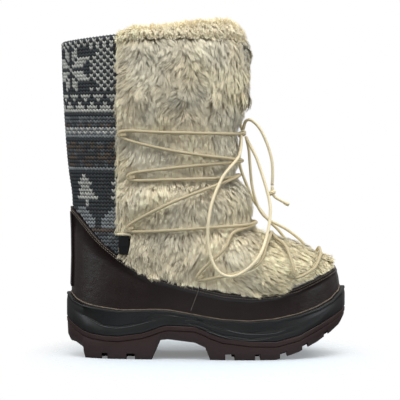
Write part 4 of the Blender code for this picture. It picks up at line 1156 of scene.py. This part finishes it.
def coat(name, spots, normals):
    """One mesh of hairs rooted in the hide and laid along the coat."""
    kept, lock = lock_of(spots, LOCK_WIDE)
    flow = fur_flow(spots, normals)
    size = HAIR_LONG * chance.uniform(0.7, 1.15, len(kept))[lock] * chance.uniform(0.8, 1.1, len(spots))
    depth = np.full(len(spots), 0.006)
    for i, (spot, normal) in enumerate(zip(spots, normals)):
        reach = upper_tree.ray_cast(Vector(spot), Vector(-normal), 0.03)[3]
        if reach:
            depth[i] = min(reach, 0.012)
    squeeze = pressed(spots)
    size = size * (1 - 0.45 * squeeze)
    roots = spots - normals * (0.5 * depth)[:, None] - flow * (0.25 * size)[:, None]
    tips_at = spots + flow * size[:, None]
    beyond = np.array([coat_tree.find_nearest(Vector(p))[3] for p in tips_at]) - HEM_OVERHANG
    beyond -= 4.5 * MM * (chance.random(len(kept)) ** 1.5)[lock] * ease(spots[:, 0], 0.030, 0.015)
    size = size - np.maximum(beyond, 0)
    room = (spots[:, 2] - hem_height(spots) + 1.0 * MM) / np.maximum(-flow[:, 2], 0.15)
    room = np.minimum(room, (FUR_TOE + 3.0 * MM - spots[:, 0]) / np.maximum(flow[:, 0], 0.1))
    size = np.maximum(np.minimum(size, room), 1.5 * MM)
    tips_at = spots + flow * size[:, None]
    gather = (spots[kept] + flow[kept] * size[kept][:, None])[lock]
    tips_at = tips_at + (gather - tips_at) * (0.15 + 0.45 * chance.random(len(kept))[lock])[:, None]
    stand = (chance.uniform(-0.8, 3.0, len(kept))[lock] + chance.uniform(-1.2, 1.2, len(spots))) * MM
    stand = np.minimum(stand, 3.2 * MM - 4.4 * MM * pressed(tips_at))
    tips = lie_on(skin_tree, tips_at, normals, stand)
    bend_at = spots + flow * (0.30 * size)[:, None]
    bulge = stand * 0.5 + 2.2 * MM
    bulge = np.minimum(bulge, 3.0 * MM - 4.4 * MM * pressed(bend_at))
    bends = lie_on(skin_tree, bend_at, normals, bulge)
    root_colours, tip_colours = hair_colours(spots, lock, len(kept))
    widths = HAIR_WIDE * chance.uniform(0.7, 1.2, len(spots))
    hairs = ribbons(name, roots, bends, tips, normals, widths, root_colours, tip_colours)
    dress(hairs, fur_finish)


# %% [markdown]
# Hairs start only on the coat's outer face, above its hem and clear of the tab. The coat is cut into four
# bands, so that no mesh grows too heavy, and the spots above the last band go to the roll.

# %% Grow the coat in bands
DENSITY = 1.22e6            # hairs to a square metre
RIM_SEAM = 0.3275
spots, normals, flats = scatter("fur_front", DENSITY)
facing = []
for spot, flat in zip(spots, flats):
    side = upper_tree.find_nearest(Vector(spot))[1]
    facing.append(Vector(flat).dot(side) > -0.3)
facing = np.array(facing)
tab_low, tab_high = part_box("side_tab")
on_tab = (spots[:, 1] < 0) & (np.abs(spots[:, 0] - (tab_low.x + tab_high.x) / 2) < 7.0 * MM)
on_tab &= (spots[:, 2] > tab_low.z - 1.0 * MM) & (spots[:, 2] < tab_high.z + 9.0 * MM)
kept = facing & ~on_tab & (spots[:, 2] > hem_height(spots)) & (spots[:, 0] < FUR_TOE)
spots, normals = spots[kept], normals[kept]
over_seam = spots[:, 2] > RIM_SEAM + 3.0 * MM * noise_field(spots, 0.006, 71.0)
rim_spots, rim_normals = spots[over_seam], normals[over_seam]
spots, normals = spots[~over_seam], normals[~over_seam]
bands = ((0.255, 0.40), (0.175, 0.255), (0.110, 0.175), (0.0, 0.110))
for number, (low, high) in enumerate(bands, start=1):
    inside = (spots[:, 2] >= low) & (spots[:, 2] < high)
    coat(f"fur_{number}", spots[inside], normals[inside])
    print("fur band", number, "has", int(inside.sum()), "hairs")

# %% [markdown]
# ## The fur roll on the rim
# Over the fur part the rim has finer, shorter fur, curly and warm in colour. Most of its hairs fall outward
# from the crest and a few stand up. They grow from a core inside the frame's roll.

# %% Roll
ROLL_HAIR_LONG = 5.2 * MM
ROLL_HAIR_WIDE = 0.50 * MM
ROLL_CORE_DEPTH = 2.4 * MM
ROLL_WARM = np.array((0.98, 0.88, 0.66))
STANDING = 0.15             # share of the hairs
roll_points, roll_corners, roll_normals, _ = smooth_surface("fur_collar")


def roll_drop(points):
    """How far the roll sinks towards its two ends and over the front of the shin."""
    x = points[:, 0]
    drop = 4.5 * MM * ease(x, 0.112, 0.131) + 5.5 * MM * ease(x, 0.018, -0.001)
    return drop[:, None] * np.array([0, 0, 1.0])


core_points = roll_points - roll_normals * ROLL_CORE_DEPTH
core = mesh_object("roll_core", core_points - roll_drop(core_points), roll_corners)
dress(core, Finish("roll_core", 0.95, (0.80, 0.69, 0.49)))
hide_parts("fur_collar")
spots, normals, _ = scatter("fur_collar", DENSITY * 1.5)
spots, normals = np.concatenate([spots, rim_spots]), np.concatenate([normals, rim_normals])
kept, lock = lock_of(spots, LOCK_WIDE)
level = normals * np.array([1, 1, 0])
fall = np.linalg.norm(level, axis=1)[:, None] * np.array([0, 0, -0.7])
standing = (chance.random(len(spots)) < STANDING)[:, None]
upright = 0.5 * normals + np.array([0, 0, 0.9])
lean = unit(np.where(standing, upright, 0.6 * level + fall + 0.5 * normals)
            + 0.25 * chance.normal(size=(len(kept), 3))[lock] + 0.15 * chance.normal(size=spots.shape))
reach = chance.uniform(0.55, 1.0, len(spots)) * chance.uniform(0.8, 1.1, len(kept))[lock]
spots = spots - roll_drop(spots)
roots = spots - normals * ROLL_CORE_DEPTH - lean * 0.8 * MM
tips = spots + lean * (ROLL_HAIR_LONG * reach)[:, None] - np.array([0, 0, 1.2 * MM])
bends = spots + normals * 0.9 * MM + lean * 1.6 * MM
_, tip_colours = hair_colours(spots, lock, len(kept))
warm_tip = tip_colours * 0.25 + 0.75 * ROLL_WARM
roll = ribbons("fur_roll", roots, bends, tips, normals + 0.01, np.full(len(spots), ROLL_HAIR_WIDE),
               warm_tip * 0.98, np.clip(warm_tip * 1.06, 0, 0.97))
dress(roll, fur_finish)
print("roll has", len(spots), "hairs")

# %% [markdown]
# ## The woven tab
# A small black woven tab is sewn in at the seam between fur and knit. It stays blank.

# %% Tab
tab_finish = Finish("black_tape", 0.8, (0.015, 0.015, 0.016))
weave = tab_finish.node("ShaderNodeTexWave", {"bands_direction": "Z"},
                        Vector=tab_finish.place(), Scale=320.0)
tab_finish.set("Base Color", tab_finish.mix(weave, (0.004, 0.004, 0.004), (0.013, 0.013, 0.014)))
tab_finish.bump(weave, 0.4, 0.0002)
tab_finish.shader.inputs["Specular IOR Level"].default_value = 0.2
wear(nodes["side_tab"], tab_finish)
strap_spots = []
for x in np.linspace(tab_low.x - 4.0 * MM, tab_high.x + 2.0 * MM, 9):
    hit = skin_tree.ray_cast(Vector((x, -0.2, tab_high.z + 1.6 * MM)), Vector((0, 1, 0)))[0]
    strap_spots.append(tuple(hit + Vector((0, -1.2 * MM, 0))))
strap = tube("tab_strap", smooth_route(strap_spots, 1.0 * MM), 1.35 * MM, 8)
dress(strap, pale_lace)

# %% [markdown]
# ## Floor and light
# The photograph is lit softly from above and from both sides, on plain white. The floor is a pale
# blue-grey patch that fades out round the sole: a painted shadow, on which the boot's own soft shadow also
# falls. The camera sees white behind it, while the light itself is stronger from above than from below.

# %% Floor
bpy.ops.mesh.primitive_circle_add(vertices=96, radius=1.0, fill_type="NGON", location=(0.09, 0, 0))
floor = bpy.context.active_object
floor.name = "floor"
# Painted shadow: a blue-grey patch, most opaque under the boot, that fades out with distance.
floor_shadow_finish = Finish("floor", 0.95, (0.66, 0.73, 0.78))
centred = floor_shadow_finish.node("ShaderNodeMapping", Vector=floor_shadow_finish.place(), Scale=(5.2, 4.6, 1.0))
reach = floor_shadow_finish.node("ShaderNodeVectorMath", {"operation": "LENGTH"}, output="Value", Vector=centred)
floor_shadow_finish.set("Alpha", floor_shadow_finish.ramp(reach, [(0.55, (0.8, 0.8, 0.8)), (1.0, (0, 0, 0))]))
floor_shadow_finish.shader.inputs["Specular IOR Level"].default_value = 0.0
wear(floor, floor_shadow_finish)

# %% Light
world = bpy.data.worlds.new("studio")
bpy.context.scene.world = world
world.use_nodes = True
links = world.node_tree.links
background = world.node_tree.nodes["Background"]
backdrop = world.node_tree.nodes.new("ShaderNodeBackground")
backdrop.inputs["Color"].default_value = (1, 1, 1, 1)
direction = world.node_tree.nodes.new("ShaderNodeTexCoord")
split = world.node_tree.nodes.new("ShaderNodeSeparateXYZ")
links.new(direction.outputs["Generated"], split.inputs[0])
dome = world.node_tree.nodes.new("ShaderNodeMapRange")
links.new(split.outputs["Z"], dome.inputs["Value"])
for socket, value in (("From Min", -0.6), ("From Max", 1.0), ("To Min", 0.0), ("To Max", 0.80)):
    dome.inputs[socket].default_value = value
links.new(dome.outputs["Result"], background.inputs["Strength"])
background.inputs["Color"].default_value = (1, 1, 1, 1)
path_kind = world.node_tree.nodes.new("ShaderNodeLightPath")
choose = world.node_tree.nodes.new("ShaderNodeMixShader")
links.new(path_kind.outputs["Is Camera Ray"], choose.inputs[0])
links.new(background.outputs[0], choose.inputs[1])
links.new(backdrop.outputs[0], choose.inputs[2])
links.new(choose.outputs[0], world.node_tree.nodes["World Output"].inputs["Surface"])
bpy.context.scene.view_settings.view_transform = "Standard"


def soft_light(name, place, energy, size, colour=(1, 1, 1)):
    data = bpy.data.lights.new(name, "AREA")
    data.energy = energy
    data.size = size
    data.color = colour
    made = bpy.data.objects.new(name, data)
    made.location = place
    made.rotation_euler = (LOOK_AT - Vector(place)).to_track_quat("-Z", "Y").to_euler()
    bpy.context.scene.collection.objects.link(made)


soft_light("above", (0.20, -0.40, 1.5), 18, 0.9)
soft_light("left", (-1.30, -0.65, 0.50), 8.5, 0.5, (0.90, 0.95, 1.0))
soft_light("right", (1.50, -0.70, 0.50), 9.5, 0.5, (0.90, 0.95, 1.0))
